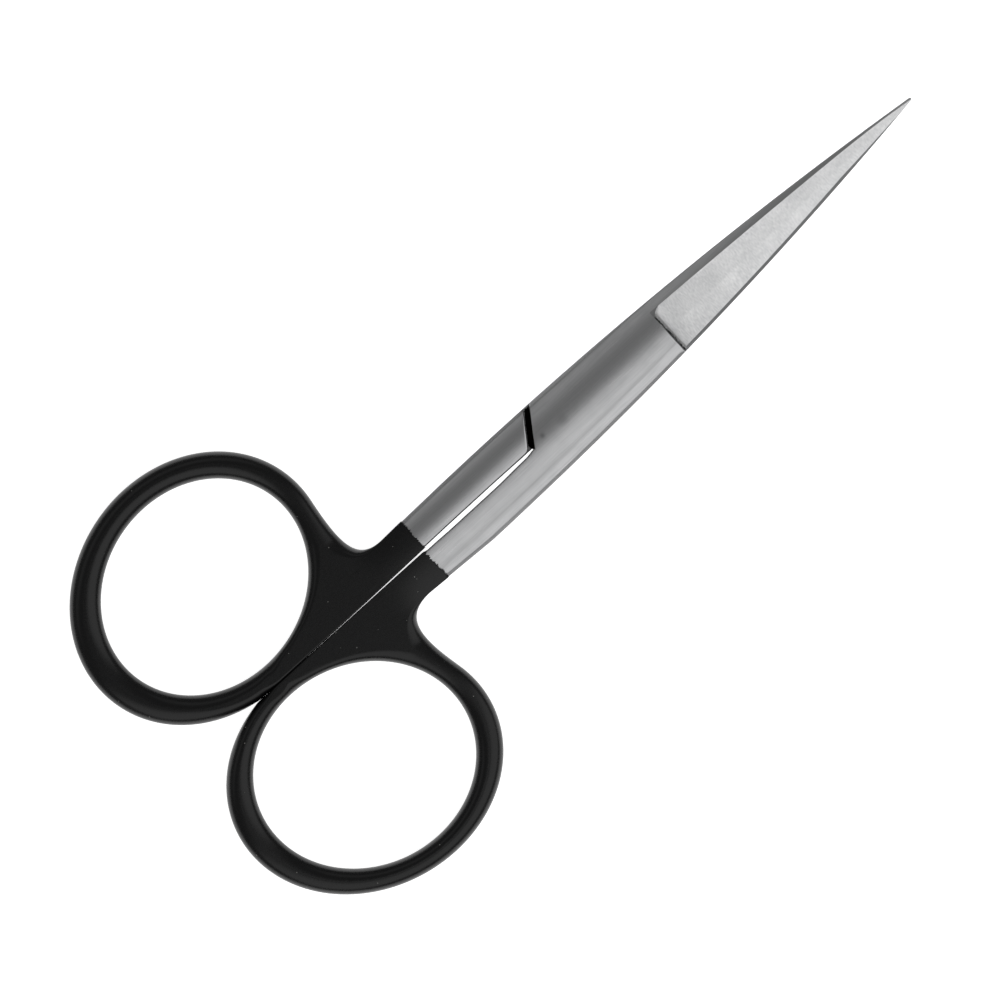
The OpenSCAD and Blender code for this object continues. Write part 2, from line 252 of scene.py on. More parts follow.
def combine(
    piece: bpy.types.Object, work: Work, shapes: list[bmesh.types.BMesh], place: Matrix, crease: float,
) -> None:
    """Joins shapes to a piece or takes them out of it.

    Args:
        piece: piece to work on.
        work: whether the shapes are joined or cut.
        shapes: closed meshes in millimetres, freed here.
        place: where the shapes go in the shared frame, still in millimetres.
        crease: angle in degrees above which an edge shows as sharp.
    """
    for bm in shapes:
        tool = new_piece(bm, "tool", place, crease)
        cut = piece.modifiers.new("work", "BOOLEAN")
        cut.operation = work.value
        cut.solver = "EXACT"
        cut.object = tool
        bpy.context.view_layer.update()
        done = bpy.data.meshes.new_from_object(piece.evaluated_get(bpy.context.evaluated_depsgraph_get()))
        piece.modifiers.clear()
        bpy.data.objects.remove(tool)
        piece.data = done
        done.name = piece.name
        done.set_sharp_from_angle(angle=math.radians(crease))


def round_bar(radius: float, low: float, high: float, around: int = 96) -> bmesh.types.BMesh:
    """A capped cylinder on the pivot axis between two heights, in millimetres.

    Args:
        radius: its radius.
        low: height of its lower end.
        high: height of its upper end.
        around: number of its sides.

    Returns:
        The new mesh.
    """
    bm = bmesh.new()
    place = Matrix.Translation((0, 0, (low + high) / 2))
    bmesh.ops.create_cone(
        bm, cap_ends=True, segments=around, radius1=radius, radius2=radius, depth=high - low, matrix=place,
    )
    return bm


@dataclass(frozen=True)
class BrushedSteel:
    """Stainless tool steel, belt-brushed or wheel-ground: satin grey, with fine parallel scratches.

    Real scratches are typically a few hundredths of a millimetre wide, too fine to show, so streak_wide draws
    them one or two pixels wide.
    """

    name: str
    lay: Lay
    light: str
    dark: str
    roughness: float
    streak_long: float
    streak_wide: float
    mottle: float
    depth: float
    # colour of old oil, also laid on as painted shade in the gap, the notch and at the ledge
    grime_and_shade: str = "#161513"
    patch: float = 0.22
    # how far the wear and painted highlight and shade attribute brightens or darkens the colour
    wear_light_gain: float = 0.35
    streak_detail: float = 3.0
    streak_bite: float = 0.6
    cloud_detail: float = 2.0
    cloud_share: float = 0.3
    spread: tuple[float, float] = (0.42, 0.88)
    rough_swing: tuple[float, float] = (0.05, -0.03)
    grime_shade_span: tuple[float, float] = (0.8, 1.1)
    grime_shade_dull: float = 0.35

    def material(self) -> bpy.types.Material:
        """Builds the material: scratches along the lay, cloudy wear, worn places, old oil, and painted
        highlights and shade.

        Returns:
            The new material.
        """
        steel = bpy.data.materials.new(self.name)
        steel.use_nodes = True
        tree = steel.node_tree
        shader = tree.nodes["Principled BSDF"]
        shader.inputs["Metallic"].default_value = 1.0
        place = add_node(tree, "ShaderNodeTexCoord", {}).outputs["Object"]
        along = 1 / (self.streak_long * MM)
        across = 1 / (self.streak_wide * MM)
        scale = (along, across, across) if self.lay is Lay.LENGTHWISE else (across, along, across)
        drawn = add_node(tree, "ShaderNodeMapping", {"Vector": place, "Scale": scale})
        streaks = add_node(
            tree, "ShaderNodeTexNoise",
            {
                "Vector": drawn.outputs[0], "Scale": 1.0,
                "Detail": self.streak_detail, "Roughness": self.streak_bite,
            },
        )
        clouds = add_node(
            tree, "ShaderNodeTexNoise",
            {"Vector": place, "Scale": 1 / (self.mottle * MM), "Detail": self.cloud_detail},
        )
        both = add_node(
            tree, "ShaderNodeMath",
            {0: clouds.outputs[0], 1: self.cloud_share, 2: streaks.outputs[0]}, operation="MULTIPLY_ADD",
        )
        share = add_node(
            tree, "ShaderNodeMapRange",
            {"Value": both.outputs[0], "From Min": self.spread[0], "From Max": self.spread[1]},
        )
        colour = add_node(
            tree, "ShaderNodeMix",
            {0: share.outputs[0], 6: linear(self.dark), 7: linear(self.light)}, data_type="RGBA",
        )
        rough = add_node(
            tree, "ShaderNodeMapRange",
            {
                "Value": share.outputs[0],
                "To Min": self.roughness + self.rough_swing[0],
                "To Max": self.roughness + self.rough_swing[1],
            },
        )
        # Wear, painted highlights and painted shade scale the colour.
        wear_and_painted_light = add_node(tree, "ShaderNodeAttribute", {}, attribute_name="wear_and_painted_light")
        gain = add_node(
            tree, "ShaderNodeMath",
            {0: wear_and_painted_light.outputs["Fac"], 1: self.wear_light_gain, 2: 1.0}, operation="MULTIPLY_ADD",
        )
        brightened = add_node(
            tree, "ShaderNodeVectorMath",
            {0: colour.outputs[2], "Scale": gain.outputs[0]}, operation="SCALE",
        )
        # Old oil and painted shade darken the colour toward the dark oil colour.
        where = add_node(tree, "ShaderNodeAttribute", {}, attribute_name="grime_and_shade")
        patches = add_node(
            tree, "ShaderNodeTexNoise",
            {"Vector": place, "Scale": 1 / (self.patch * MM), "Detail": self.cloud_detail},
        )
        edge = add_node(
            tree, "ShaderNodeMath",
            {0: where.outputs["Fac"], 1: patches.outputs[0]}, operation="ADD",
        )
        grime_shade = add_node(
            tree, "ShaderNodeMapRange",
            {"Value": edge.outputs[0], "From Min": self.grime_shade_span[0], "From Max": self.grime_shade_span[1]},
            interpolation_type="SMOOTHSTEP",
        )
        grime_shaded = add_node(
            tree, "ShaderNodeMix",
            {0: grime_shade.outputs[0], 6: brightened.outputs[0], 7: linear(self.grime_and_shade)}, data_type="RGBA",
        )
        tree.links.new(grime_shaded.outputs[2], shader.inputs["Base Color"])
        dull = add_node(
            tree, "ShaderNodeMath",
            {0: grime_shade.outputs[0], 1: self.grime_shade_dull, 2: rough.outputs[0]}, operation="MULTIPLY_ADD",
        )
        tree.links.new(dull.outputs[0], shader.inputs["Roughness"])
        relief = add_node(
            tree, "ShaderNodeBump",
            {"Height": streaks.outputs[0], "Strength": 1.0, "Distance": self.depth * MM},
        )
        tree.links.new(relief.outputs[0], shader.inputs["Normal"])
        return steel


@dataclass(frozen=True)
class DippedCoat:
    """Vinyl dip on steel: satin black with a faint grain and a few specks of dust.

    The real grain is too fine to show, so grain draws it about three pixels wide.
    """

    name: str = "dipped_vinyl_black"
    black: str = "#080809"
    speck: str = "#8c8c88"
    roughness: float = 0.27
    specular: float = 0.44
    grain: float = 0.35
    grain_depth: float = 0.003
    speck_spacing: float = 1.4
    speck_size: float = 0.06
    grain_detail: float = 2.0
    rough_swing: float = 0.05
    ior: float = 1.5

    def material(self) -> bpy.types.Material:
        """Builds the material: satin black, its grain and its specks.

        Returns:
            The new material.
        """
        coat = bpy.data.materials.new(self.name)
        coat.use_nodes = True
        tree = coat.node_tree
        shader = tree.nodes["Principled BSDF"]
        shader.inputs["IOR"].default_value = self.ior
        shader.inputs["Specular IOR Level"].default_value = self.specular
        place = add_node(tree, "ShaderNodeTexCoord", {}).outputs["Object"]
        cells = add_node(
            tree, "ShaderNodeTexVoronoi",
            {"Vector": place, "Scale": 1 / (self.speck_spacing * MM)},
        )
        spot = add_node(
            tree, "ShaderNodeMath",
            {0: cells.outputs["Distance"], 1: self.speck_size / self.speck_spacing},
            operation="LESS_THAN",
        )
        colour = add_node(
            tree, "ShaderNodeMix",
            {0: spot.outputs[0], 6: linear(self.black), 7: linear(self.speck)}, data_type="RGBA",
        )
        tree.links.new(colour.outputs[2], shader.inputs["Base Color"])
        grain = add_node(
            tree, "ShaderNodeTexNoise",
            {"Vector": place, "Scale": 1 / (self.grain * MM), "Detail": self.grain_detail},
        )
        rough = add_node(
            tree, "ShaderNodeMapRange",
            {
                "Value": grain.outputs[0],
                "To Min": self.roughness - self.rough_swing, "To Max": self.roughness + self.rough_swing,
            },
        )
        tree.links.new(rough.outputs[0], shader.inputs["Roughness"])
        relief = add_node(
            tree, "ShaderNodeBump",
            {"Height": grain.outputs[0], "Strength": 1.0, "Distance": self.grain_depth * MM},
        )
        tree.links.new(relief.outputs[0], shader.inputs["Normal"])
        return coat


@dataclass(frozen=True)
class PairPlan:
    """Sizes that both steel halves share, in millimetres and degrees."""

    tip_reach: float
    # Outline of the closed pair.
    half_wide: float = 4.38
    widest_back: float = 12.7
    tip_half: float = 0.16
    nose: float = 0.25
    nose_left: float = 0.4
    # Thickness and crown.
    ridge_thick: float = 1.95
    tip_thick: float = 0.206
    crown_radius: float = 10.2
    crown_limit: float = 0.9
    taper_start: float = 10.0
    # Ground face, cutting edge and spine facet.
    ground_start: float = 15.3
    ground_angle: float = 12.9
    ground_tip: float = 0.174
    edge_thick: float = 0.2
    edge_setback: float = 0.36
    setback_lead: float = 0.2
    setback_limit: float = 0.9
    setback_end: float = 53.0
    setback_run: float = 11.0
    facet_from: float = 43.0
    facet_lift: float = 0.063
    edge_bevel: float = 14.0
    wheel_radius: float = 60.0
    wheel_corner: float = 0.9
    uncut: float = 9.0
    ledge_round: float = 0.9
    # Hollow of the inner face.
    hollow_start: float = 9.0
    hollow_run: float = 2.0
    hollow_depth: float = 0.12
    # Lap joint and shank.
    ride_play: float = 0.06
    shoulder_inset: float = 0.34
    shoulder_gap: float = 0.68
    shoulder_lean: float = 35.5
    shank_gap: float = 0.17
    sink_start: float = 20.0
    sink_angle: float = 2.66

    def half_at(self, x: float) -> float:
        """Half-width of the closed pair at x, rounded off at the tips.

        Args:
            x: millimetres ahead of the pivot.

        Returns:
            Half the width, in millimetres.
        """
        fall = self.half_wide - self.tip_half
        arc = ((self.tip_reach + self.widest_back) ** 2 + fall * fall) / (2 * fall)
        half = self.half_wide - arc + math.sqrt(arc * arc - (x + self.widest_back) ** 2)
        past = max(x - self.tip_reach + self.nose, 0.0) / self.nose
        return half * max(math.sqrt(max(1 - past * past, 0.0)), self.nose_left)

    def crown(self, x: float, y: float) -> float:
        """Height of the crowned outer face above the middle plane.

        Args:
            x: millimetres ahead of the pivot.
            y: millimetres from the axis toward the spine.

        Returns:
            The height, in millimetres.
        """
        slope = (self.ridge_thick - self.tip_thick) / (self.tip_reach - self.taper_start)
        thinned = slope * max(x - self.taper_start, 0.0)
        sunk = math.tan(math.radians(self.sink_angle)) * max(-self.sink_start - x, 0.0)
        off = min(abs(y), self.crown_limit * self.crown_radius)
        arch = self.crown_radius - math.sqrt(self.crown_radius ** 2 - off * off)
        return self.ridge_thick - thinned - sunk - arch

    def ground_middle(self, x: float) -> float:
        """Height of the ground face midway across the blade.

        Args:
            x: millimetres ahead of the pivot.

        Returns:
            The height, in millimetres.
        """
        reach = self.half_at(self.ground_start) - self.edge_setback
        lean = math.radians(self.ground_angle)
        sag = (reach / math.cos(lean)) ** 2 / (2 * self.wheel_radius)
        start = self.edge_thick + reach * math.tan(lean) - sag
        along = (x - self.ground_start) / (self.tip_reach - self.ground_start)
        lift = max((x - self.facet_from) / (self.tip_reach - self.facet_from), 0.0)
        return mix(start, self.ground_tip, along) + self.facet_lift * lift * lift

    def ledge(self, y: float) -> float:
        """X of the ledge where the ground face starts, which turns forward into the crease."""
        return self.ground_start + drop(self.crease(self.ground_start) - y, self.ledge_round)

    def ground(self, x: float, y: float) -> float:
        """Height of the ground face, with the run-out of the wheel's corner, or a great height behind it.

        Args:
            x: millimetres ahead of the pivot.
            y: millimetres from the axis toward the spine.

        Returns:
            The height, in millimetres.
        """
        start = self.ledge(y)
        if x <= start:
            return self.uncut
        lean = math.radians(self.ground_angle)
        hollow = (y / math.cos(lean)) ** 2 / (2 * self.wheel_radius)
        face = self.ground_middle(x) + y * math.tan(lean) + hollow
        return face + drop(x - start, self.wheel_corner)

    def crease(self, x: float) -> float:
        """Where the ground face meets the crowned spine, across the blade at x.

        Args:
            x: millimetres ahead of the pivot.

        Returns:
            Its Y, in millimetres.
        """
        at = max(x, self.ground_start)
        lean = math.radians(self.ground_angle)
        bend = 1 / (2 * self.crown_radius) + 1 / (2 * self.wheel_radius * math.cos(lean) ** 2)
        rise = self.crown(at, 0.0) - self.ground_middle(at)
        tilt = math.tan(lean)
        meets = (math.sqrt(max(tilt * tilt + 4 * bend * rise, 0.0)) - tilt) / (2 * bend)
        return meets * self.half_at(x) / self.half_at(at)

    def is_ground(self, x: float, y: float) -> bool:
        """Whether the wheel has cut the outer face there."""
        return self.ground(x, y) < self.crown(x, y)

    def inner(self, x: float, y: float) -> float:
        """Height of the inner face: flat round the pivot, hollow along the blade.

        Args:
            x: millimetres ahead of the pivot.
            y: millimetres from the axis toward the spine.

        Returns:
            The height, in millimetres.
        """
        along = min(max((x - self.hollow_start) / (self.tip_reach - self.hollow_start), 0.0), 1.0)
        begins = smooth((x - self.hollow_start) / self.hollow_run)
        hollow = (self.hollow_depth * (1 - along) - y * y / (2 * self.wheel_radius)) * begins
        return self.ride_play / 2 + max(hollow, 0.0)

    def edge_at(self, x: float) -> float:
        """Distance of the cutting edge from the axis; behind the ground face it is the outline.

        Args:
            x: millimetres ahead of the pivot.

        Returns:
            The distance, in millimetres.
        """
        half = self.half_at(x)
        begun = smooth((x - self.ground_start + self.setback_lead) / self.wheel_corner)
        left = min(max((self.setback_end - x) / self.setback_run, 0.0), 1.0)
        return half - min(self.edge_setback * left, self.setback_limit * half) * begun

    def shoulder(self, y: float, gap: float) -> float:
        """X of a shoulder face at y, that gap beyond the blade's own shoulder.

        Args:
            y: millimetres from the axis toward the spine.
            gap: distance beyond the blade's own shoulder, in millimetres.

        Returns:
            Its X, in millimetres.
        """
        lean = math.radians(self.shoulder_lean)
        reach = self.half_wide - self.shoulder_inset + gap
        return y * math.tan(lean) - reach / math.cos(lean)


@dataclass(frozen=True)
class Bow:
    """Sizes of one ring handle, in millimetres and degrees, with the bow at +Y."""

    middle: tuple[float, float]
    long: float
    across: float
    tilt: float
    bar_front: float
    bar_side: float
    bar_end: float
    neck: float
    lean: float
    ring_out: float
    neck_back: float = 24.9
    neck_joins: float = -5.0
    neck_lead: float = 0.95
    neck_pull: float = 0.66
    foot_back: float = 5.0
    fan: float = 273.0
    lowest: float = -0.999  # least sine at which ring_end still finds an angle

    @property
    def ring_long(self) -> float:
        """Half-length of the ring's outer edge."""
        return self.long + (self.bar_front + self.bar_end) / 2

    @property
    def ring_across(self) -> float:
        """Half-width of the ring's outer edge."""
        return self.across + self.bar_side - self.ring_out

    def parting(self, x: float, gap: float) -> float:
        """Y of the parting face at x, that far from the middle of the gap."""
        lean = math.radians(self.lean)
        return gap / math.cos(lean) + x * math.tan(lean)

    def oval(self, angle: float, ring: bool) -> Vector:
        """A point of the finger hole, or of the ring's outer edge, at an angle of its ellipse in degrees.

        Args:
            angle: angle of the ellipse, in degrees.
            ring: whether the ring's outer edge is meant, and not the hole.

        Returns:
            The point, seen from above.
        """
        long, across, (x, y) = self.long, self.across, self.middle
        if ring:
            long, across = self.ring_long, self.ring_across
            x -= (self.bar_end - self.bar_front) / 2
            y += self.ring_out
        a, tilt = math.radians(angle), math.radians(self.tilt)
        u, v = long * math.cos(a), across * math.sin(a)
        return Vector((
            x + u * math.cos(tilt) - v * math.sin(tilt),
            y + u * math.sin(tilt) + v * math.cos(tilt),
        ))

    def ring_start(self) -> float:
        """Ellipse angle at which the ring leaves the neck."""
        turn = math.radians(self.neck_joins - self.tilt)
        return math.degrees(math.atan2(self.ring_long * math.sin(turn), self.ring_across * math.cos(turn)))

    def ring_end(self, gap: float) -> float:
        """Ellipse angle at which the ring meets the parting face.

        Args:
            gap: distance of the parting face from the middle of the gap.

        Returns:
            The angle, in degrees.
        """
        tilt = math.radians(self.tilt)
        rise = self.ring_long * math.sin(tilt)
        run = self.ring_across * math.cos(tilt)
        level = self.parting(self.middle[0] - self.foot_back, gap) - self.middle[1] - self.ring_out
        share = max(level / math.hypot(rise, run), self.lowest)
        return 180 - math.degrees(math.asin(share)) - math.degrees(math.atan2(rise, run))


def half_place(side: Side, mid: float) -> Matrix:
    """Where the frame of a half lies: the front half as drawn, the rear half turned over about X."""
    lift = Matrix.Translation((0, 0, mid))
    return lift if side is Side.FRONT else lift @ Matrix.Rotation(math.pi, 4, "X")


class SubAssembly:
    """A part of the pair that is built as one piece and then dressed."""

    def dress(
        self, piece: bpy.types.Object, materials: list[bpy.types.Material], body: str, node: str, slot: str,
    ) -> None:
        """Gives a piece its finishes and its place in the assembly.

        Args:
            piece: the finished piece.
            materials: its finishes, in the order of its material slots.
            body: body that it moves with.
            node: CAD node that it stands for.
            slot: material slot of the record; not used.
        """
        for material in materials:
            piece.data.materials.append(material)
        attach(piece, body)
        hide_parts(node)
        log.info("%s: %d faces", piece.name, len(piece.data.polygons))


@dataclass
class SteelHalf(SubAssembly):
    """One steel half: blade, joint, shoulder and shank, down to where the shank runs into the coating."""

    plan: PairPlan
    bow: Bow
    side: Side
    mid: float
    gap_belly: float
    gap_pinch: float
    # Outline of the shank, and the gap between the shanks.
    coat: float = 0.12
    shank_back: float = 24.6
    waist_back: float = 15.5
    waist_long: float = 11.5
    belly_span: tuple[float, float] = (-6.5, -5.0)
    belly_fade: tuple[float, float] = (-18.0, -3.0)
    belly_lost: float = 0.4
    pinch_at: float = -5.0
    pinch_long: float = 0.8
    corner_guess: float = -5.0
    # Rounded and bevelled edges; a hair keeps a rounding from ending at nothing.
    edge_round: float = 0.4
    edge_slope: float = 0.42
    edge_fade: float = 1.2
    bevel_high: float = 0.3
    spine_round: float = 0.45
    spine_lost: float = 0.8
    spine_limit: float = 0.25
    gap_round: float = 0.14
    stop_round: float = 0.24
    stop_corner: float = 0.4
    hair: float = 0.001
    least_wall: float = 0.04
    # The shank's other face, and how the block under it is rooted in the upper layer.
    back_shift: float = 1.6
    back_radius: float = 7.5
    block_inset: float = 0.01
    block_root: float = 0.3
    # Holes for the pivot screw, and how far a cutting shape runs past them.
    screw_radius: float = 1.3
    screw_play: float = 0.04
    pocket_radius: float = 3.1
    head_sunk: float = 0.4
    past: float = 1.0
    # Old oil and dust, with painted shade along the gap, in the notch's foot and at the ledge: widths and
    # depths in millimetres, darkness as a share.
    near_inner: float = 0.01
    near_middle: float = 0.1
    grime_shade_wide: float = 0.17
    grime_shade_depth: float = 0.7
    fade_below: float = 3.0
    unmarked: float = -2.0
    stop_dark: float = 2.0
    stop_thin: float = 0.05
    foot_span: tuple[float, float] = (0.4, 1.1)
    foot_fade: float = 0.4
    ledge_past: float = 1.0
    ledge_high: float = 0.5
    ledge_dark: float = 0.52
    ledge_span: tuple[float, float] = (0.12, 0.45)
    # Painted highlight on the facet along the joint's edge with a painted shade line beside it, and the dark
    # spot near the pivot.
    strip_wide: float = 1.5
    strip_soft: float = 0.15
    strip_highlight: float = 0.3
    line_shade: float = 0.5
    line_wide: tuple[float, float] = (0.42, 0.14)
    line_span: tuple[float, float] = (-13.0, 26.0)
    spot: tuple[float, float] = (-3.25, 0.5)
    spot_wide: float = 0.28
    spot_dark: float = 1.3
    # The wheel's face: a painted highlight on the crease, the second pass, the paler tip and painted shade on
    # the run-out.
    crease_clear: float = 0.02
    crease_off: float = 0.04
    crease_wide: float = 0.09
    crease_span: tuple[float, float] = (19.0, 4.0)
    pass_soft: float = 0.3
    pass_bright: float = 0.2
    pass_span: tuple[float, float] = (16.6, 1.4)
    tip_bright: float = 0.5
    tip_span: tuple[float, float] = (16.5, 14.0)
    run_out_shade: float = 0.7
    run_out_span: tuple[float, float] = (0.3, 0.8)
    # The mesh: where its rows and columns lie, and how many there are.
    sharp: float = 22.0
    level_from: float = 1.0
    fine_from: float = 14.6
    fine_to: float = 17.6
    tip_fine: float = 1.0
    edge_share: float = 0.3
    gap_share: float = 0.2
    row_apart: float = 0.02
    row_counts: tuple[int, ...] = (8, 30, 6, 20, 12, 8)
    column_counts: tuple[int, ...] = (36, 30, 42, 80, 12)
    shank_columns: int = 44
    lower_columns: int = 60
    lower_crowd: float = 1.6

    def waist(self, x: float) -> float:
        """Distance of the shank's outer side from the axis, drawn in toward the neck.

        Args:
            x: millimetres ahead of the pivot.

        Returns:
            The distance, in millimetres.
        """
        start = self.plan.half_at(-self.waist_back)
        slope = (start - self.bow.neck + self.coat) / self.waist_long
        return min(self.plan.half_at(x), start - slope * (-self.waist_back - x))

    def gap_line(self, x: float) -> float:
        """Y of the shank's inner side, which bellies away from the other shank and closes in at the notch.

        Args:
            x: millimetres ahead of the pivot.

        Returns:
            Its Y, in millimetres.
        """
        belly = self.gap_belly * ease(x, self.belly_span) * (1 - self.belly_lost * ease(x, self.belly_fade))
        pinch = self.gap_pinch * math.exp(-((x - self.pinch_at) / self.pinch_long) ** 2)
        return -self.bow.parting(x, self.plan.shank_gap + belly - pinch)

    @cached_property
    def corner(self) -> Vector:
        """The notch where the shank's inner side meets the shoulder.

        Returns:
            The notch, seen from above.
        """
        x = self.corner_guess
        for _ in range(ROUNDS):
            x = self.plan.shoulder(self.gap_line(x), 0.0)
        return Vector((x, self.gap_line(x)))

    def low_line(self, x: float, inner: bool) -> float:
        """Y of the lower outline: the shank's outer side, the joint's edge and then the cutting edge.

        Args:
            x: millimetres ahead of the pivot.
            inner: whether the inner face is meant, and not the outer one.

        Returns:
            Its Y, in millimetres.
        """
        if x < -self.waist_back:
            return -self.waist(x)
        edge = self.plan.edge_at(x)
        if inner or x < self.plan.ground_start:
            return -edge
        begun = smooth((x - self.plan.ground_start) / self.plan.wheel_corner)
        height = max(self.plan.ground(x, -edge) - self.plan.ride_play / 2, 0.0)
        return -edge + min(height, self.bevel_high) * math.tan(math.radians(self.plan.edge_bevel)) * begun

    def low_round(self, x: float) -> float:
        """Radius of the rounding along the lower outline, which ends at the ground face."""
        return self.edge_round * (1 - smooth((x - self.fine_from) / self.edge_fade)) + self.hair

    def spine_rounding(self, x: float) -> float:
        """Radius of the rounding along the spine."""
        fade = 1 - self.spine_lost * smooth((x - self.level_from) / (self.fine_to - self.level_from))
        return min(self.spine_round * fade, self.spine_limit * self.plan.half_at(x))

    def row_marks(self, x: float, inner: bool) -> list[float]:
        """Y of every row across the half at x, from the lower outline to the spine.

        Args:
            x: millimetres ahead of the pivot.
            inner: whether the inner face is meant, and not the outer one.

        Returns:
            The rows, the lowest first.
        """
        plan, corner = self.plan, self.corner
        low, high = self.low_line(x, inner), plan.half_at(x)
        part = self.gap_line(x) if x <= corner.x else corner.y * high / plan.half_at(corner.x)
        near = part - min(self.gap_round, self.gap_share * (part - low))
        top = high - self.spine_rounding(x)
        apart = self.row_apart * high
        crease = max(min(plan.crease(x), top - apart), part + apart)
        bend = low + min(self.low_round(x), self.edge_share * (part - low))
        counts = self.row_counts
        rows = steps(low, bend, counts[0])
        rows += steps(bend, near, counts[1])
        rows += turned_out(part, part - near, counts[2])
        rows += steps(part, crease, counts[3])
        rows += steps(crease, top, counts[4])
        rows += steps(top, high, counts[5])
        return rows + [high]

    @cached_property
    def stations(self) -> list[float]:
        """X of the blade's columns ahead of the shoulder, close together at the ledge and the tip.

        Returns:
            The columns, from the shoulder to the tip.
        """
        counts = self.column_counts
        tip = self.plan.tip_reach
        marks = steps(self.level_from, self.fine_from, counts[1])
        marks += steps(self.fine_from, self.fine_to, counts[2])
        marks += steps(self.fine_to, tip - self.tip_fine, counts[3])
        marks += [tip - self.tip_fine * (1 - i / counts[4]) ** 2 for i in range(counts[4] + 1)]
        return marks

    def outer_height(self, x: float, y: float) -> float:
        """Height of the outer face with its rounded edges.

        Args:
            x: millimetres ahead of the pivot.
            y: millimetres from the axis toward the spine.

        Returns:
            The height, in millimetres.
        """
        plan = self.plan
        height = min(plan.crown(x, y), plan.ground(x, y))
        height -= chamfer(y - self.low_line(x, False), self.low_round(x), self.edge_slope)
        height -= chamfer(plan.half_at(x) - y, self.spine_rounding(x), self.edge_slope)
        height -= drop(self.off_notch(x, y), self.gap_round)
        return max(height, plan.inner(x, y) + self.least_wall)

    def off_notch(self, x: float, y: float) -> float:
        """Distance from the gap between the shanks and from the shoulder, on the blade's side.

        Args:
            x: millimetres ahead of the pivot.
            y: millimetres from the axis toward the spine.

        Returns:
            The distance, in millimetres.
        """
        corner = self.corner
        if y >= corner.y:
            return (x - self.plan.shoulder(y, 0.0)) * math.cos(math.radians(self.plan.shoulder_lean))
        if x <= corner.x:
            return self.gap_line(x) - y
        return math.hypot(x - corner.x, y - corner.y)

    def off_stop(self, x: float, y: float) -> float:
        """Distance behind the shoulder that ends the other layer of the shank, less than 0 ahead of it."""
        lean = math.cos(math.radians(self.plan.shoulder_lean))
        return (self.plan.shoulder(-y, self.plan.shoulder_gap) - x) * lean

    def corner_cut(self, x: float, y: float) -> float:
        """How far the rounded corner at the end of the gap stands back from the shoulder at y."""
        return drop(self.gap_line(x) - y, self.stop_corner)

    def grime_and_shade(self, point: Vector) -> float:
        """How much oil, dust and painted shade lie at a point: along the gap's edges, in the shoulder's foot
        and at the ledge.

        Args:
            point: place in the half's frame, in millimetres.

        Returns:
            About 0 where nothing is painted, 1 or more where it is black, less than 0 where no patch may
            show.
        """
        x, y, z = point
        plan = self.plan
        # At the ledge: painted shade along its wall and in the wheel corner's fillet.
        if x > plan.ground_start and z > plan.inner(x, y) + self.near_inner:
            ahead = x - plan.ledge(y)
            past_ledge = plan.ground_start + self.ledge_past
            wall = min((plan.crown(x, y) - plan.ground(past_ledge, y)) / self.ledge_high, 1.0)
            return self.ledge_dark * max(wall, 0.0) * (1 - ease(ahead, self.ledge_span))
        if x > self.level_from:
            return 0.0
        # Along the gap's edges and at the stop: painted shade of the deep narrow gap, with old oil.
        if z > 0:
            along_gap = 1 - smooth(self.off_notch(x, y) / self.grime_shade_wide)
        else:
            at_stop = self.off_stop(x, y) - self.corner_cut(x, y)
            along_gap = 1 - smooth((self.gap_line(x) - y) / self.grime_shade_wide)
            along_gap = max(along_gap, self.stop_dark - at_stop / self.stop_thin)
        along_gap -= self.fade_below * (1 - smooth(abs(z) / self.grime_shade_depth))
        # In the notch's foot: painted shadow under the other blade's shoulder, with some grease.
        ahead = -self.off_stop(x, y)
        at_foot = self.unmarked
        if abs(z) < self.near_middle and ahead > 0:
            at_foot = 1 - ease(ahead, self.foot_span)
            at_foot *= smooth((y - self.low_line(x, True)) / self.foot_fade)
        return max(along_gap, at_foot)

    def wear_and_painted_light(self, point: Vector) -> float:
        """How much brighter the steel is worn, ground or given a painted highlight at a point, less than 0
        for painted shade on the dull line and the run-out and for the dark spot.

        Args:
            point: place in the half's frame, in millimetres.

        Returns:
            The gain in brightness, in units of the finish's gain.
        """
        x, y, z = point
        plan = self.plan
        if z < plan.inner(x, y) + self.near_inner:
            return 0.0
        if x < plan.ground_start:
            # Painted highlight on the facet along the lower edge, with a painted shade line at its crease.
            strip = -plan.half_at(x) + self.strip_wide
            along = (x - self.line_span[0]) / self.line_span[1]
            wide = mix(*self.line_wide, min(max(along, 0.0), 1.0))
            line = self.line_shade * math.exp(-((y - strip) / wide) ** 2)
            spot = math.hypot(x - self.spot[0], y - self.spot[1]) / self.spot_wide
            facet_sheen = self.strip_highlight * smooth((strip - y) / self.strip_soft) - line
            return facet_sheen - self.spot_dark * math.exp(-spot * spot)
        crease = plan.crease(x)
        if y > crease + self.crease_clear:
            return 0.0
        # Painted highlight just below the crease.
        off = (y - crease + self.crease_off) / self.crease_wide
        crease_highlight = math.exp(-off ** 2) * ease(x, self.crease_span)
        second = (self.low_line(x, False) + crease) / 2
        pass_two = self.pass_bright * smooth((second - y) / self.pass_soft) * ease(x, self.pass_span)
        toward_tip = self.tip_bright * ease(x, self.tip_span)
        # Painted shade on the ledge's run-out.
        run_out = self.run_out_shade * (1 - ease(x - plan.ledge(y), self.run_out_span))
        return max(crease_highlight, pass_two + toward_tip) - run_out

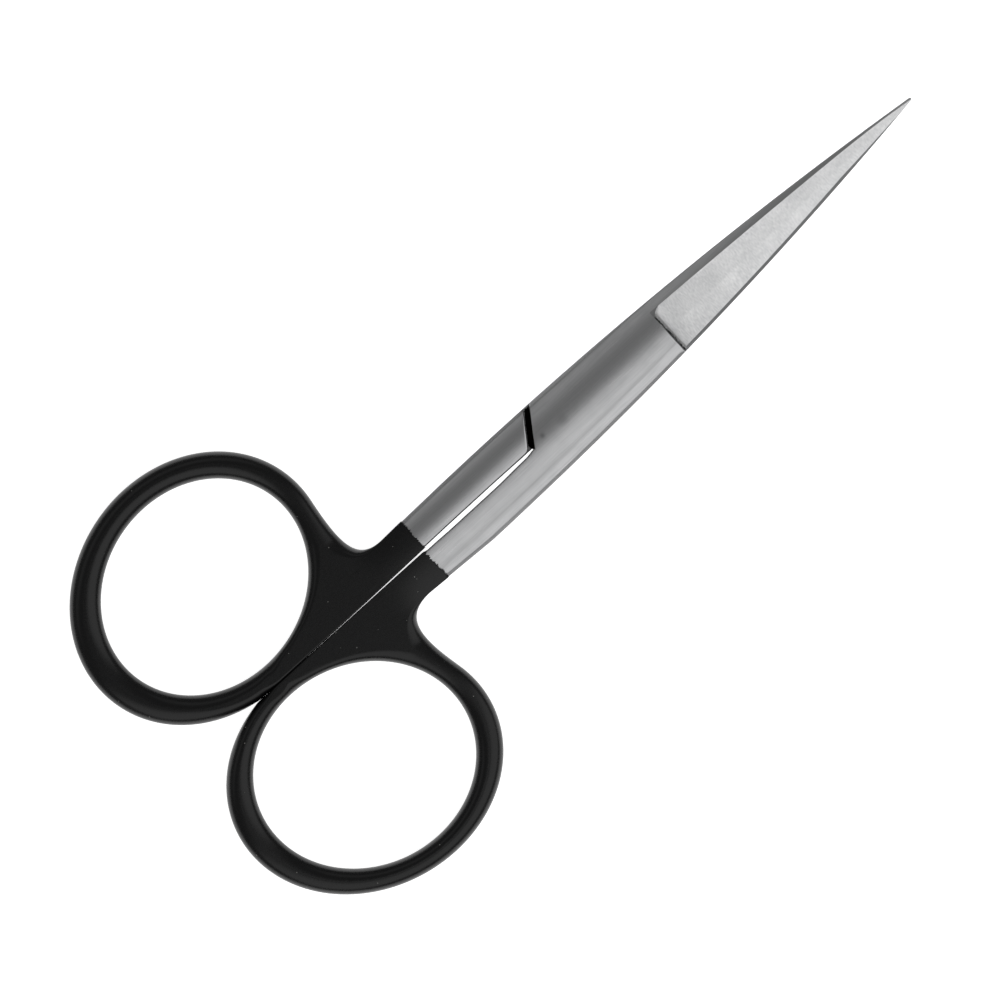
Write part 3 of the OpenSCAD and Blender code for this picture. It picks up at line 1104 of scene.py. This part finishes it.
    def blade_point(self, column: int, row: int, inner: bool) -> Vector:
        """A point of the blade and joint, ahead of the shoulder.

        Args:
            column: number of the grid's column.
            row: number of the grid's row.
            inner: whether the inner face is meant, and not the outer one.

        Returns:
            The point, in the half's frame.
        """
        ahead = self.column_counts[0]
        if column >= ahead:
            x = self.stations[column - ahead]
        else:
            upper = row > sum(self.row_counts[:3])
            left = self.corner.x
            for _ in range(ROUNDS if upper else 0):
                left = self.plan.shoulder(self.row_marks(left, inner)[row], 0.0)
            share = 1 - math.cos(math.pi / 2 * column / ahead)
            x = mix(left, self.stations[0], share)
        y = self.row_marks(x, inner)[row]
        return Vector((x, y, self.plan.inner(x, y) if inner else self.outer_height(x, y)))

    def shank_point(self, column: int, row: int, inner: bool) -> Vector:
        """A point of the shank, behind the shoulder, on the blade's side of the middle plane.

        Args:
            column: number of the grid's column.
            row: number of the grid's row.
            inner: whether the inner face is meant, and not the outer one.

        Returns:
            The point, in the half's frame.
        """
        x = mix(-self.shank_back, self.corner.x, column / self.shank_columns)
        y = self.row_marks(x, inner)[row]
        return Vector((x, y, self.plan.ride_play / 2 if inner else self.outer_height(x, y)))

    def build_upper(self) -> bmesh.types.BMesh:
        """Builds the layer on the blade's side: outer face, walls and inner face.

        Returns:
            The closed mesh, in the half's frame.
        """
        bm = bmesh.new()
        columns = self.column_counts[0] + len(self.stations) - 1
        rows, shank_rows = sum(self.row_counts), sum(self.row_counts[:3])
        for inner in (False, True):
            blade = mapped_grid(bm, columns, rows, lambda i, j: self.blade_point(i, j, inner))
            shank = mapped_grid(
                bm, self.shank_columns, shank_rows, lambda i, j: self.shank_point(i, j, inner),
            )
            for face in blade + shank:
                face.material_index = self.finish_at(face.calc_center_median(), inner).value
            bmesh.ops.remove_doubles(bm, verts=bm.verts, dist=ROW_WELD)
        rims = [edge for edge in bm.edges if edge.is_boundary]
        bmesh.ops.bridge_loops(bm, edges=rims)
        return bm

    def finish_at(self, point: Vector, inner: bool) -> Face:
        """The finish of the face at a point.

        Args:
            point: place in the half's frame, in millimetres.
            inner: whether the inner face is meant, and not the outer one.

        Returns:
            The finish.
        """
        if inner:
            return Face.LAPPED
        return Face.GROUND if self.plan.is_ground(point.x, point.y) else Face.BRUSHED

    def back_height(self, x: float, y: float) -> float:
        """Height of the shank's other face, whose crown is tighter and runs over the shank's own middle."""
        off = y + self.back_shift
        return self.plan.crown(x, 0.0) - self.back_radius + math.sqrt(self.back_radius ** 2 - off * off)

    def lower_point(self, column: int, row: int, outer: bool) -> Vector:
        """A point of the shank's other face, which ends at the shoulder that the other blade swings past.

        Args:
            column: number of the grid's column.
            row: number of the grid's row.
            outer: whether the outer face is meant, and not the root in the other layer.

        Returns:
            The point, in the half's frame.
        """
        plan = self.plan
        right = plan.shoulder(0.0, plan.shoulder_gap)
        for _ in range(ROUNDS):
            right = plan.shoulder(-self.lower_row(right, row), plan.shoulder_gap)
        lean = math.cos(math.radians(plan.shoulder_lean))
        right -= self.corner_cut(right, self.lower_row(right, row)) / lean
        share = 1 - (1 - column / self.lower_columns) ** self.lower_crowd
        x = mix(self.block_inset - self.shank_back, right, share)
        y = self.lower_row(x, row)
        if not outer:
            return Vector((x, y, self.block_root))
        height = self.back_height(x, y)
        height -= chamfer(y + self.waist(x), self.edge_round, self.edge_slope)
        height -= drop(self.gap_line(x) - y, self.stop_round)
        height -= drop(self.off_stop(x, y) - self.corner_cut(x, y), self.stop_round)
        return Vector((x, y, -height))

    def lower_row(self, x: float, row: int) -> float:
        """Y of a row of the shank's other face.

        Args:
            x: millimetres ahead of the pivot.
            row: number of the grid's row.

        Returns:
            Its Y, in millimetres.
        """
        low, part = self.block_inset - self.waist(x), self.gap_line(x) - self.block_inset
        counts = self.row_counts[:3]
        rows = steps(low, low + self.edge_round, counts[0])
        rows += steps(low + self.edge_round, part - self.stop_round, counts[1])
        rows += turned_out(part, self.stop_round, counts[2])
        return (rows + [part])[row]

    def build_lower(self) -> bmesh.types.BMesh:
        """Builds the block that takes the shank to the full thickness of the pair, rooted in the other layer.

        Returns:
            The closed mesh, in the half's frame.
        """
        bm = bmesh.new()
        rows = sum(self.row_counts[:3])
        for outer in (True, False):
            mapped_grid(bm, self.lower_columns, rows, lambda i, j: self.lower_point(i, j, outer))
        bmesh.ops.bridge_loops(bm, edges=[edge for edge in bm.edges if edge.is_boundary])
        return bm

    def build(self) -> bpy.types.Object:
        """Builds the half, puts it into the shared frame and marks where it is dirty or worn, and where
        highlight and shade are painted on.

        Returns:
            The finished piece.
        """
        place = half_place(self.side, self.mid)
        half = new_piece(self.build_upper(), f"{self.side.value}_half_steel", place, self.sharp)
        combine(half, Work.JOIN, [self.build_lower()], place, self.sharp)
        combine(half, Work.CUT, self.bores(), Matrix.Identity(4), self.sharp)
        back = place.inverted() @ Matrix.Scale(1 / MM, 4)
        points = [back @ vert.co for vert in half.data.vertices]
        for name, rule in (("grime_and_shade", self.grime_and_shade), ("wear_and_painted_light", self.wear_and_painted_light)):
            marks = half.data.attributes.new(name, "FLOAT", "POINT")
            marks.data.foreach_set("value", [rule(point) for point in points])
        return half

    def bores(self) -> list[bmesh.types.BMesh]:
        """The room of the pivot screw: a close hole in front, a free hole and a head pocket behind.

        Returns:
            Closed meshes to cut, in the shared frame but in millimetres.
        """
        if self.side is Side.FRONT:
            return [round_bar(self.screw_radius, self.mid - self.past, 2 * self.mid)]
        pocket = self.mid - self.plan.ridge_thick + self.head_sunk
        return [
            round_bar(self.screw_radius + self.screw_play, -self.past, self.mid + self.past),
            round_bar(self.pocket_radius, -self.past, pocket),
        ]


@dataclass(frozen=True)
class RimPoint:
    """A point of a coated handle's outer edge, its roundings and the angle of the hole's point it faces."""

    x: float
    y: float
    round_off: float
    hole_round: float
    angle: float
    ahead: float = 0.0


@dataclass
class BowCoat(SubAssembly):
    """The black dip on one handle: ring, web and neck, and a thin skin on the end of the shank."""

    plan: PairPlan
    bow: Bow
    steel: SteelHalf
    side: Side
    mid: float
    thick: float
    edge_back: float
    # The skin's thickness, the gap to the other coat, and how the top changes from bow to shank.
    skin: float = 0.06
    gap_front: float = 0.1
    gap_end: float = 0.0003
    coat_crown: float = 26.0
    level_span: tuple[float, float] = (-0.4, 2.5)
    rise_from: float = 29.5
    rise_to: float = 24.6
    # Roundings of the edges; one wider than deep_span reaches down to the middle plane.
    split_round: float = 0.3
    bar_round: float = 1.75
    web_round: float = 0.8
    foot_round: float = 0.9
    side_round: float = 0.15
    neck_round: float = 2.4
    edge_round: float = 0.04
    deep_span: tuple[float, float] = (0.4, 0.8)
    room_share: float = 0.46
    # The ragged front edge: its depth, and the length, share and layer of each of its waves.
    ragged: float = 0.26
    waves: tuple[tuple[float, float, float], ...] = ((0.9, 0.7, 0.0), (0.3, 0.7, 5.0), (0.11, 0.9, 9.0))
    creep_span: tuple[float, float] = (0.88, 0.12)
    # How the rim's roundings and angles change: spans are shares of a part of it, fan_wide is in degrees.
    fan_wide: tuple[float, float] = (6.0, 2.0)
    fan_bend: float = 1.7
    fan_span: tuple[float, float] = (0.2, 0.5)
    neck_span: tuple[float, float] = (0.0, 1 / 1.15)
    bar_span: tuple[float, float] = (0.6, 0.4)
    web_span: tuple[float, float] = (0.21875, 0.625)
    foot_span: tuple[float, float] = (0.84, 0.16)
    leave_span: tuple[float, float] = (0.0, 0.125)
    leave_steps: int = 4
    # The mesh.
    sharp: float = 40.0
    half_step: float = 0.5
    flat_crowd: float = 1.5
    turn_steps: int = 14
    flat_steps: int = 24
    step_counts: tuple[int, ...] = (64, 96, 8, 40, 128)

    def split(self, x: float) -> float:
        """Y of the coated parting face, which closes toward the bow's far end."""
        along = (-x - self.edge_back) / (-self.bow.middle[0] + self.bow.foot_back - self.edge_back)
        return self.bow.parting(x, mix(self.gap_front, self.gap_end, settle(along)))

    def top(self, x: float, y: float, shift: float) -> float:
        """Height of the coat above the middle plane: level on bow and web, crowned on the shank.

        Args:
            x: millimetres ahead of the pivot.
            y: millimetres from the axis toward the bow.
            shift: how far the crown's ridge lies from the axis, in millimetres.

        Returns:
            The height, in millimetres.
        """
        on_shank = smooth((self.rise_from + x) / (self.rise_from - self.rise_to))
        on_shank *= 1 - ease(abs(y) - self.bow.neck, self.level_span)
        ridge = self.plan.crown(x, 0.0) + self.skin
        return mix(self.thick / 2, ridge - (y - shift) ** 2 / (2 * self.coat_crown), on_shank)

    def ragged_edge(self, y: float) -> float:
        """How far the coat's edge runs ahead of its mean line at y, where the dip crept unevenly."""
        seed = RAGGED_SEEDS[self.side]
        return self.ragged * sum(share * noise.noise((y / long, seed, at)) for long, share, at in self.waves)

    @cached_property
    def turns(self) -> tuple[float, ...]:
        """Angles of the hole's points that the ends of the rim's first four parts look to."""
        fan, (wide, narrow) = self.bow.fan, self.fan_wide
        return self.bow.ring_end(self.gap_end), fan - wide, fan - narrow, fan, self.bow.ring_start() + 360

    def rim(self) -> list[RimPoint]:
        """The outer edge, running along the parting face, the coat's front edge, the neck and the ring."""
        return self.split_rim() + self.front_rim() + self.side_rim() + self.neck_rim() + self.ring_rim()

    def split_rim(self) -> list[RimPoint]:
        """The rim along the parting face, from the ring's foot to the coat's front edge.

        Returns:
            Its points in order, without the next part's first one.
        """
        count, points = self.step_counts[0], []
        foot = self.bow.oval(self.turns[0], True)
        for i in range(count):
            t = i / count
            x = mix(foot.x, -self.edge_back, t)
            y = mix(foot.y, self.split(x), smooth(i / self.leave_steps))
            soft = mix(self.foot_round, self.split_round, ease(t, self.leave_span))
            soft = mix(soft, self.edge_round, t)
            web = mix(self.bar_round, self.web_round, smooth(settle(t)))
            points.append(RimPoint(x, y, soft, web, mix(self.turns[0], self.turns[1], settle(t))))
        return points

    def front_rim(self) -> list[RimPoint]:
        """The rim along the coat's ragged front edge.

        Returns:
            Its points in order, without the next part's first one.
        """
        count, points = self.step_counts[1], []
        front = -self.edge_back
        inner_y, side_y = self.split(front), self.steel.waist(front) + self.skin
        for i in range(count):
            y = mix(inner_y, side_y, i / count)
            angle = mix(self.turns[1], self.turns[2], i / count)
            points.append(RimPoint(front, y, self.edge_round, self.web_round, angle, self.ragged_edge(y)))
        return points

    def side_rim(self) -> list[RimPoint]:
        """The rim along the shank's outer side.

        Returns:
            Its points in order, without the next part's first one.
        """
        count, points = self.step_counts[2], []
        for i in range(count):
            x = mix(-self.edge_back, -self.bow.neck_back, i / count)
            angle = mix(self.turns[2], self.turns[3], i / count)
            soft = mix(self.edge_round, self.side_round, i / count)
            points.append(RimPoint(x, self.steel.waist(x) + self.skin, soft, self.web_round, angle))
        return points

    def neck_rim(self) -> list[RimPoint]:
        """The rim along the hollow of the neck, a curve from the shank to the ring.

        Returns:
            Its points in order, without the next part's first one.
        """
        count, points, bow = self.step_counts[3], [], self.bow
        first = bow.ring_start()
        end = bow.oval(first, True)
        ahead = (bow.oval(first + 1, True) - end).normalized()
        start = Vector((-bow.neck_back, self.steel.waist(-bow.neck_back) + self.skin))
        lead = Vector((end.x - bow.neck_lead, start.y))
        trail = end - bow.neck_pull * (end.y - start.y) * ahead
        for i in range(count):
            t = i / count
            u = 1 - t
            at = u ** 3 * start + 3 * t * u ** 2 * lead + 3 * t * t * u * trail + t ** 3 * end
            angle = mix(self.turns[3], self.turns[4], mix(t ** self.fan_bend, t, ease(t, self.fan_span)))
            soft = mix(self.side_round, self.neck_round, ease(t, self.neck_span))
            soft = mix(soft, self.bar_round, ease(t, self.bar_span))
            web = mix(self.web_round, self.bar_round, ease(t, self.web_span))
            points.append(RimPoint(at.x, at.y, soft, web, angle))
        return points

    def ring_rim(self) -> list[RimPoint]:
        """The rim round the ring, from the neck to the ring's foot.

        Returns:
            Its points in order, without the first part's first one.
        """
        count, points = self.step_counts[4], []
        first, last = self.bow.ring_start(), self.turns[0]
        for i in range(count):
            angle = mix(first, last, i / count)
            at = self.bow.oval(angle, True)
            soft = mix(self.bar_round, self.foot_round, ease(i / count, self.foot_span))
            points.append(RimPoint(at.x, at.y, soft, self.bar_round, angle))
        return points

    def section(self, rim: list[RimPoint], k: int) -> list[Vector]:
        """The closed cross-section from the hole to one point of the outer edge.

        Args:
            rim: all points of the outer edge.
            k: number of the point.

        Returns:
            The points round the section.
        """
        at, before, after = rim[k], rim[k - 1], rim[(k + 1) % len(rim)]
        along = Vector((after.x - before.x, after.y - before.y)).normalized()
        inward = Vector((-along.y, along.x))
        outer, crept = Vector((at.x, at.y)), Vector((at.ahead, 0.0))
        hole = self.bow.oval(at.angle, False)
        beside = [self.bow.oval(at.angle + step, False) for step in (-self.half_step, self.half_step)]
        turn = beside[1] - beside[0]
        away = Vector((turn.y, -turn.x)).normalized()
        room = self.room_share * (outer - hole).length
        wide = [min(at.hole_round, room), min(at.round_off, room)]
        flat = [hole + away * wide[0], outer + inward * wide[1]]
        halves = []
        for shift in (0.0, self.steel.back_shift):
            upper = []
            for i in range(self.flat_steps + 1):
                share = 1 - (1 - i / self.flat_steps) ** self.flat_crowd
                p = flat[0].lerp(flat[1], share) + crept * ease(share, self.creep_span)
                upper.append(Vector((p.x, p.y, self.top(p.x, p.y, shift))))
            at_hole = self.rounded(hole, away, wide[0], upper[0].z)
            at_rim = self.rounded(outer + crept, inward, wide[1], upper[-1].z)
            halves.append(list(reversed(at_hole)) + upper + at_rim)
        return halves[0] + [Vector((p.x, p.y, -p.z)) for p in reversed(halves[1])]

    def rounded(self, edge: Vector, inward: Vector, wide: float, height: float) -> list[Vector]:
        """The points of a rounded edge, from next to the flat down to the widest point.

        Args:
            edge: the widest point, seen from above.
            inward: direction from there toward the flat.
            wide: width of the rounding; a wide one reaches down to the middle plane.
            height: height of the flat.

        Returns:
            The points, the highest first.
        """
        deep = mix(min(wide, height), height, ease(wide, self.deep_span))
        points = []
        for i in range(1, self.turn_steps + 1):
            turn = math.pi / 2 * (1 - i / self.turn_steps)
            p = edge + inward * wide * (1 - math.cos(turn))
            points.append(Vector((p.x, p.y, height - deep + deep * math.sin(turn))))
        return points

    def build(self) -> bpy.types.Object:
        """Builds the coat as one closed skin and puts it into the shared frame.

        Returns:
            The finished piece.
        """
        bm = bmesh.new()
        rim = self.rim()
        sections = [self.section(rim, k) for k in range(len(rim))]
        rows = len(sections[0])
        mapped_grid(bm, len(rim), rows, lambda k, m: sections[k % len(rim)][m % rows])
        flip = half_place(self.side, self.mid) @ Matrix.Scale(-1, 4, (0, 1, 0))
        return new_piece(bm, f"{self.side.value}_bow_coat", flip, self.sharp)


@dataclass
class PivotScrew(SubAssembly):
    """The slotted screw that the halves turn on: head at the back, end ground flush with the front face."""

    plan: PairPlan
    mid: float
    head_radius: float
    shaft_radius: float = 1.3
    head_high: float = 0.92
    chamfer: float = 0.2
    slot_wide: float = 0.8
    slot_deep: float = 0.45
    slot_turn: float = 25.0
    end_near: float = 0.01
    end_deep: float = 0.3
    smudge_at: tuple[float, float] = (-0.3, 0.2)
    smudge_wide: float = 1.0
    smudge_dull: float = -0.5
    sharp: float = 30.0
    end_rings: int = 6
    around: int = 96

    def build(self) -> bpy.types.Object:
        """Turns the profile round the pivot axis and cuts the slot.

        Returns:
            The finished piece.
        """
        bm = bmesh.new()
        top = self.mid + self.plan.ridge_thick
        profile = [
            (0.0, 0.0), (self.head_radius - self.chamfer, 0.0), (self.head_radius, self.chamfer),
            (self.head_radius, self.head_high), (self.shaft_radius, self.head_high),
        ]
        profile += [(self.shaft_radius * (1 - i / self.end_rings), top) for i in range(self.end_rings + 1)]
        verts = [bm.verts.new((r, 0.0, z)) for r, z in profile]
        edges = [bm.edges.new(pair) for pair in zip(verts, verts[1:])]
        bmesh.ops.spin(
            bm, geom=verts + edges, cent=(0, 0, 0), axis=(0, 0, 1), angle=2 * math.pi,
            steps=self.around, use_merge=True,
        )
        bmesh.ops.remove_doubles(bm, verts=bm.verts, dist=WELD)
        for face in bm.faces:
            face.material_index = int(all(vert.co.z > top - self.end_near for vert in face.verts))
        for vert in bm.verts:
            if vert.co.z > top - self.end_near:
                vert.co.z = self.mid + self.plan.crown(vert.co.x, vert.co.y)
        screw = new_piece(bm, "pivot_screw_steel", Matrix.Identity(4), self.sharp)
        slot = bmesh.new()
        size = (4 * self.head_radius, self.slot_wide, 2 * self.slot_deep)
        turn = Matrix.Rotation(math.radians(self.slot_turn), 4, "Z")
        bmesh.ops.create_cube(slot, size=1.0, matrix=turn @ Matrix.Diagonal((*size, 1.0)))
        combine(screw, Work.CUT, [slot], Matrix.Identity(4), self.sharp)
        marks = screw.data.attributes.new("wear_and_painted_light", "FLOAT", "POINT")
        points = [vert.co / MM for vert in screw.data.vertices]
        marks.data.foreach_set("value", [self.smudge(point) for point in points])
        return screw

    def smudge(self, point: Vector) -> float:
        """How much duller the screw's end is at a point, from old oil in its middle.

        Args:
            point: place in the shared frame, in millimetres.

        Returns:
            The change in brightness, 0 or less, in units of the finish's gain.
        """
        on_end = point.z > self.mid + self.plan.ridge_thick - self.end_deep
        off = math.hypot(point.x - self.smudge_at[0], point.y - self.smudge_at[1])
        return self.smudge_dull * (1 - smooth(off / self.smudge_wide)) if on_end else 0.0


@dataclass
class Studio:
    """The floor, the soft lights and the camera that looks straight down on the pair."""

    centre: tuple[float, float] = (-11.795, -1.575)
    turn: float = -42.98
    width: float = 114.23
    lens: float = 200.0
    face: float = 4.0
    light_away: float = 0.6
    floor_drop: float = 0.1
    floor_half: float = 3.0
    floor_rough: float = 0.9
    floor_glow: float = 0.93
    room_glow: float = 0.155

    def build(self) -> None:
        """Sets the stage."""
        self.floor()
        self.lights()
        self.camera()

    def floor(self) -> None:
        """A plain pale floor on which the pair lies."""
        bm = bmesh.new()
        below = Matrix.Translation((0, 0, -self.floor_drop * MM))
        bmesh.ops.create_grid(bm, x_segments=1, y_segments=1, size=self.floor_half, matrix=below)
        mesh = bpy.data.meshes.new("floor")
        bm.to_mesh(mesh)
        bm.free()
        floor = bpy.data.objects.new("floor", mesh)
        bpy.context.scene.collection.objects.link(floor)
        # Painted board: flat and near white, with a glow that keeps the shadows faint.
        pale = bpy.data.materials.new("pale_floor")
        pale.use_nodes = True
        shader = pale.node_tree.nodes["Principled BSDF"]
        shader.inputs["Base Color"].default_value = linear("#f2f2f2")
        shader.inputs["Roughness"].default_value = self.floor_rough
        shader.inputs["Emission Color"].default_value = linear("#ffffff")
        shader.inputs["Emission Strength"].default_value = self.floor_glow
        mesh.materials.append(pale)

    def soft_box(self, name: str, slant: float, size: tuple[float, float], glow: float) -> None:
        """Hangs a soft box over the pair.

        Args:
            name: name of the light.
            slant: angle from upright toward -Y, in degrees.
            size: length along X and width, in metres.
            glow: brightness of its face.
        """
        data = bpy.data.lights.new(name, "AREA")
        data.shape = "RECTANGLE"
        data.size, data.size_y = size
        data.energy = glow * math.pi * size[0] * size[1]
        light = bpy.data.objects.new(name, data)
        facing = Euler((math.radians(slant), 0, 0))
        away = facing.to_matrix() @ Vector((0, 0, self.light_away))
        light.location = Vector((self.centre[0] * MM, 0, 0)) + away
        light.rotation_euler = facing
        bpy.context.scene.collection.objects.link(light)

    def lights(self) -> None:
        """A broad key on the -Y side, a dim fill on the other and a grey room."""
        self.soft_box("key", slant=33.0, size=(2.0, 0.655), glow=0.69)
        self.soft_box("fill", slant=-38.0, size=(1.2, 0.22), glow=0.25)
        world = bpy.context.scene.world or bpy.data.worlds.new("room")
        bpy.context.scene.world = world
        world.use_nodes = True
        room = world.node_tree.nodes["Background"]
        room.inputs["Color"].default_value = linear("#ffffff")
        room.inputs["Strength"].default_value = self.room_glow

    def camera(self) -> None:
        """A long lens straight above, turned so that the tips point to the upper right."""
        data = bpy.data.cameras.new("camera")
        data.lens = self.lens
        eye = bpy.data.objects.new("camera", data)
        distance = self.width * self.lens / data.sensor_width
        eye.location = Vector((*self.centre, self.face + distance)) * MM
        eye.rotation_euler = (0, 0, math.radians(self.turn))
        bpy.context.scene.collection.objects.link(eye)
        bpy.context.scene.camera = eye
        bpy.context.scene.view_settings.view_transform = "Standard"


# Stainless, belt-brushed along the piece: a satin grey whose highlights spread across the grain.
BRUSHED_STEEL = BrushedSteel(
    name="brushed_stainless", lay=Lay.LENGTHWISE, light="#cfcfd0", dark="#bebfc0", roughness=0.30,
    streak_long=5.0, streak_wide=0.11, mottle=2.0, depth=0.0018,
)
# Stainless, ground across the blade by a wheel: paler than the brushed faces, scratched from edge to spine.
GROUND_STEEL = BrushedSteel(
    name="wheel_ground_stainless", lay=Lay.CROSSWISE, light="#e6e6e6", dark="#c3c4c5", roughness=0.34,
    streak_long=8.0, streak_wide=0.11, mottle=3.0, depth=0.003,
)
# Stainless, lapped flat on the inner faces: darker and duller, seen only when the pair is open.
LAPPED_STEEL = BrushedSteel(
    name="lapped_stainless", lay=Lay.CROSSWISE, light="#babbbc", dark="#a6a7a8", roughness=0.42,
    streak_long=5.0, streak_wide=0.15, mottle=4.0, depth=0.002,
)
# Stainless bar, turned: a plain satin, a little darker than the brushed faces round it.
SCREW_STEEL = BrushedSteel(
    name="turned_stainless", lay=Lay.LENGTHWISE, light="#c4c5c6", dark="#b0b1b2", roughness=0.32,
    streak_long=5.0, streak_wide=0.2, mottle=2.0, depth=0.002,
)
# Vinyl, dipped: a deep black with soft highlights that a faint grain breaks up.
BLACK_COAT = DippedCoat()
BOW_THICK = 2.9  # millimetres over a coated bow
COAT_BACK = {Side.FRONT: 22.1, Side.REAR: 21.75}  # millimetres from the pivot back to the coat's front edge
RAGGED_SEEDS = {Side.FRONT: 3.0, Side.REAR: 11.0}  # where each coat's front edge lies in the noise
SHANK_GAPS = {Side.FRONT: (0.14, 0.2), Side.REAR: (0.05, 0.0)}  # belly and pinch of the gap, in millimetres


def main() -> None:
    """Loads the frame, builds the pair round it and sets the stage."""
    logging.basicConfig(level=logging.INFO, format="%(name)s %(message)s")
    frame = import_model()
    mid = frame["joints"][0]["pos_m"][2] / MM
    mounts = {m["name"]: m for m in frame["record"]["mounts"]}
    plan = PairPlan(tip_reach=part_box("front_blade")[1].x / MM)
    places = {side: mounts[f"{side.value}_bow"]["pos_m"] for side in Side}
    middles = {side: (p[0] / MM, abs(p[1]) / MM) for side, p in places.items()}
    bows = {
        Side.FRONT: Bow(
            middles[Side.FRONT], long=13.06, across=11.52, tilt=15.5, bar_front=3.05, bar_side=2.66,
            bar_end=3.6, neck=3.8, lean=0.45, ring_out=0.32,
        ),
        Side.REAR: Bow(
            middles[Side.REAR], long=12.97, across=11.24, tilt=11.3, bar_front=2.99, bar_side=3.14,
            bar_end=3.94, neck=4.36, lean=-0.45, ring_out=0.24,
        ),
    }
    steels = [s.material() for s in (BRUSHED_STEEL, GROUND_STEEL, LAPPED_STEEL)]
    black = BLACK_COAT.material()
    for side, bow in bows.items():
        body = f"{side.value}_half"
        half = SteelHalf(plan, bow, side, mid, *SHANK_GAPS[side])
        half.dress(half.build(), steels, body, f"{side.value}_blade", "steel")
        coat = BowCoat(plan, bow, half, side, mid, BOW_THICK, COAT_BACK[side])
        coat.dress(coat.build(), [black], body, f"{side.value}_bow_coating", "coating")
    screw = PivotScrew(plan, mid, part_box("pivot_screw")[1].x / MM)
    screw.dress(screw.build(), [SCREW_STEEL.material(), steels[0]], "front_half", "pivot_screw", "screw")
    Studio().build()


if __name__ == "__main__":
    main()
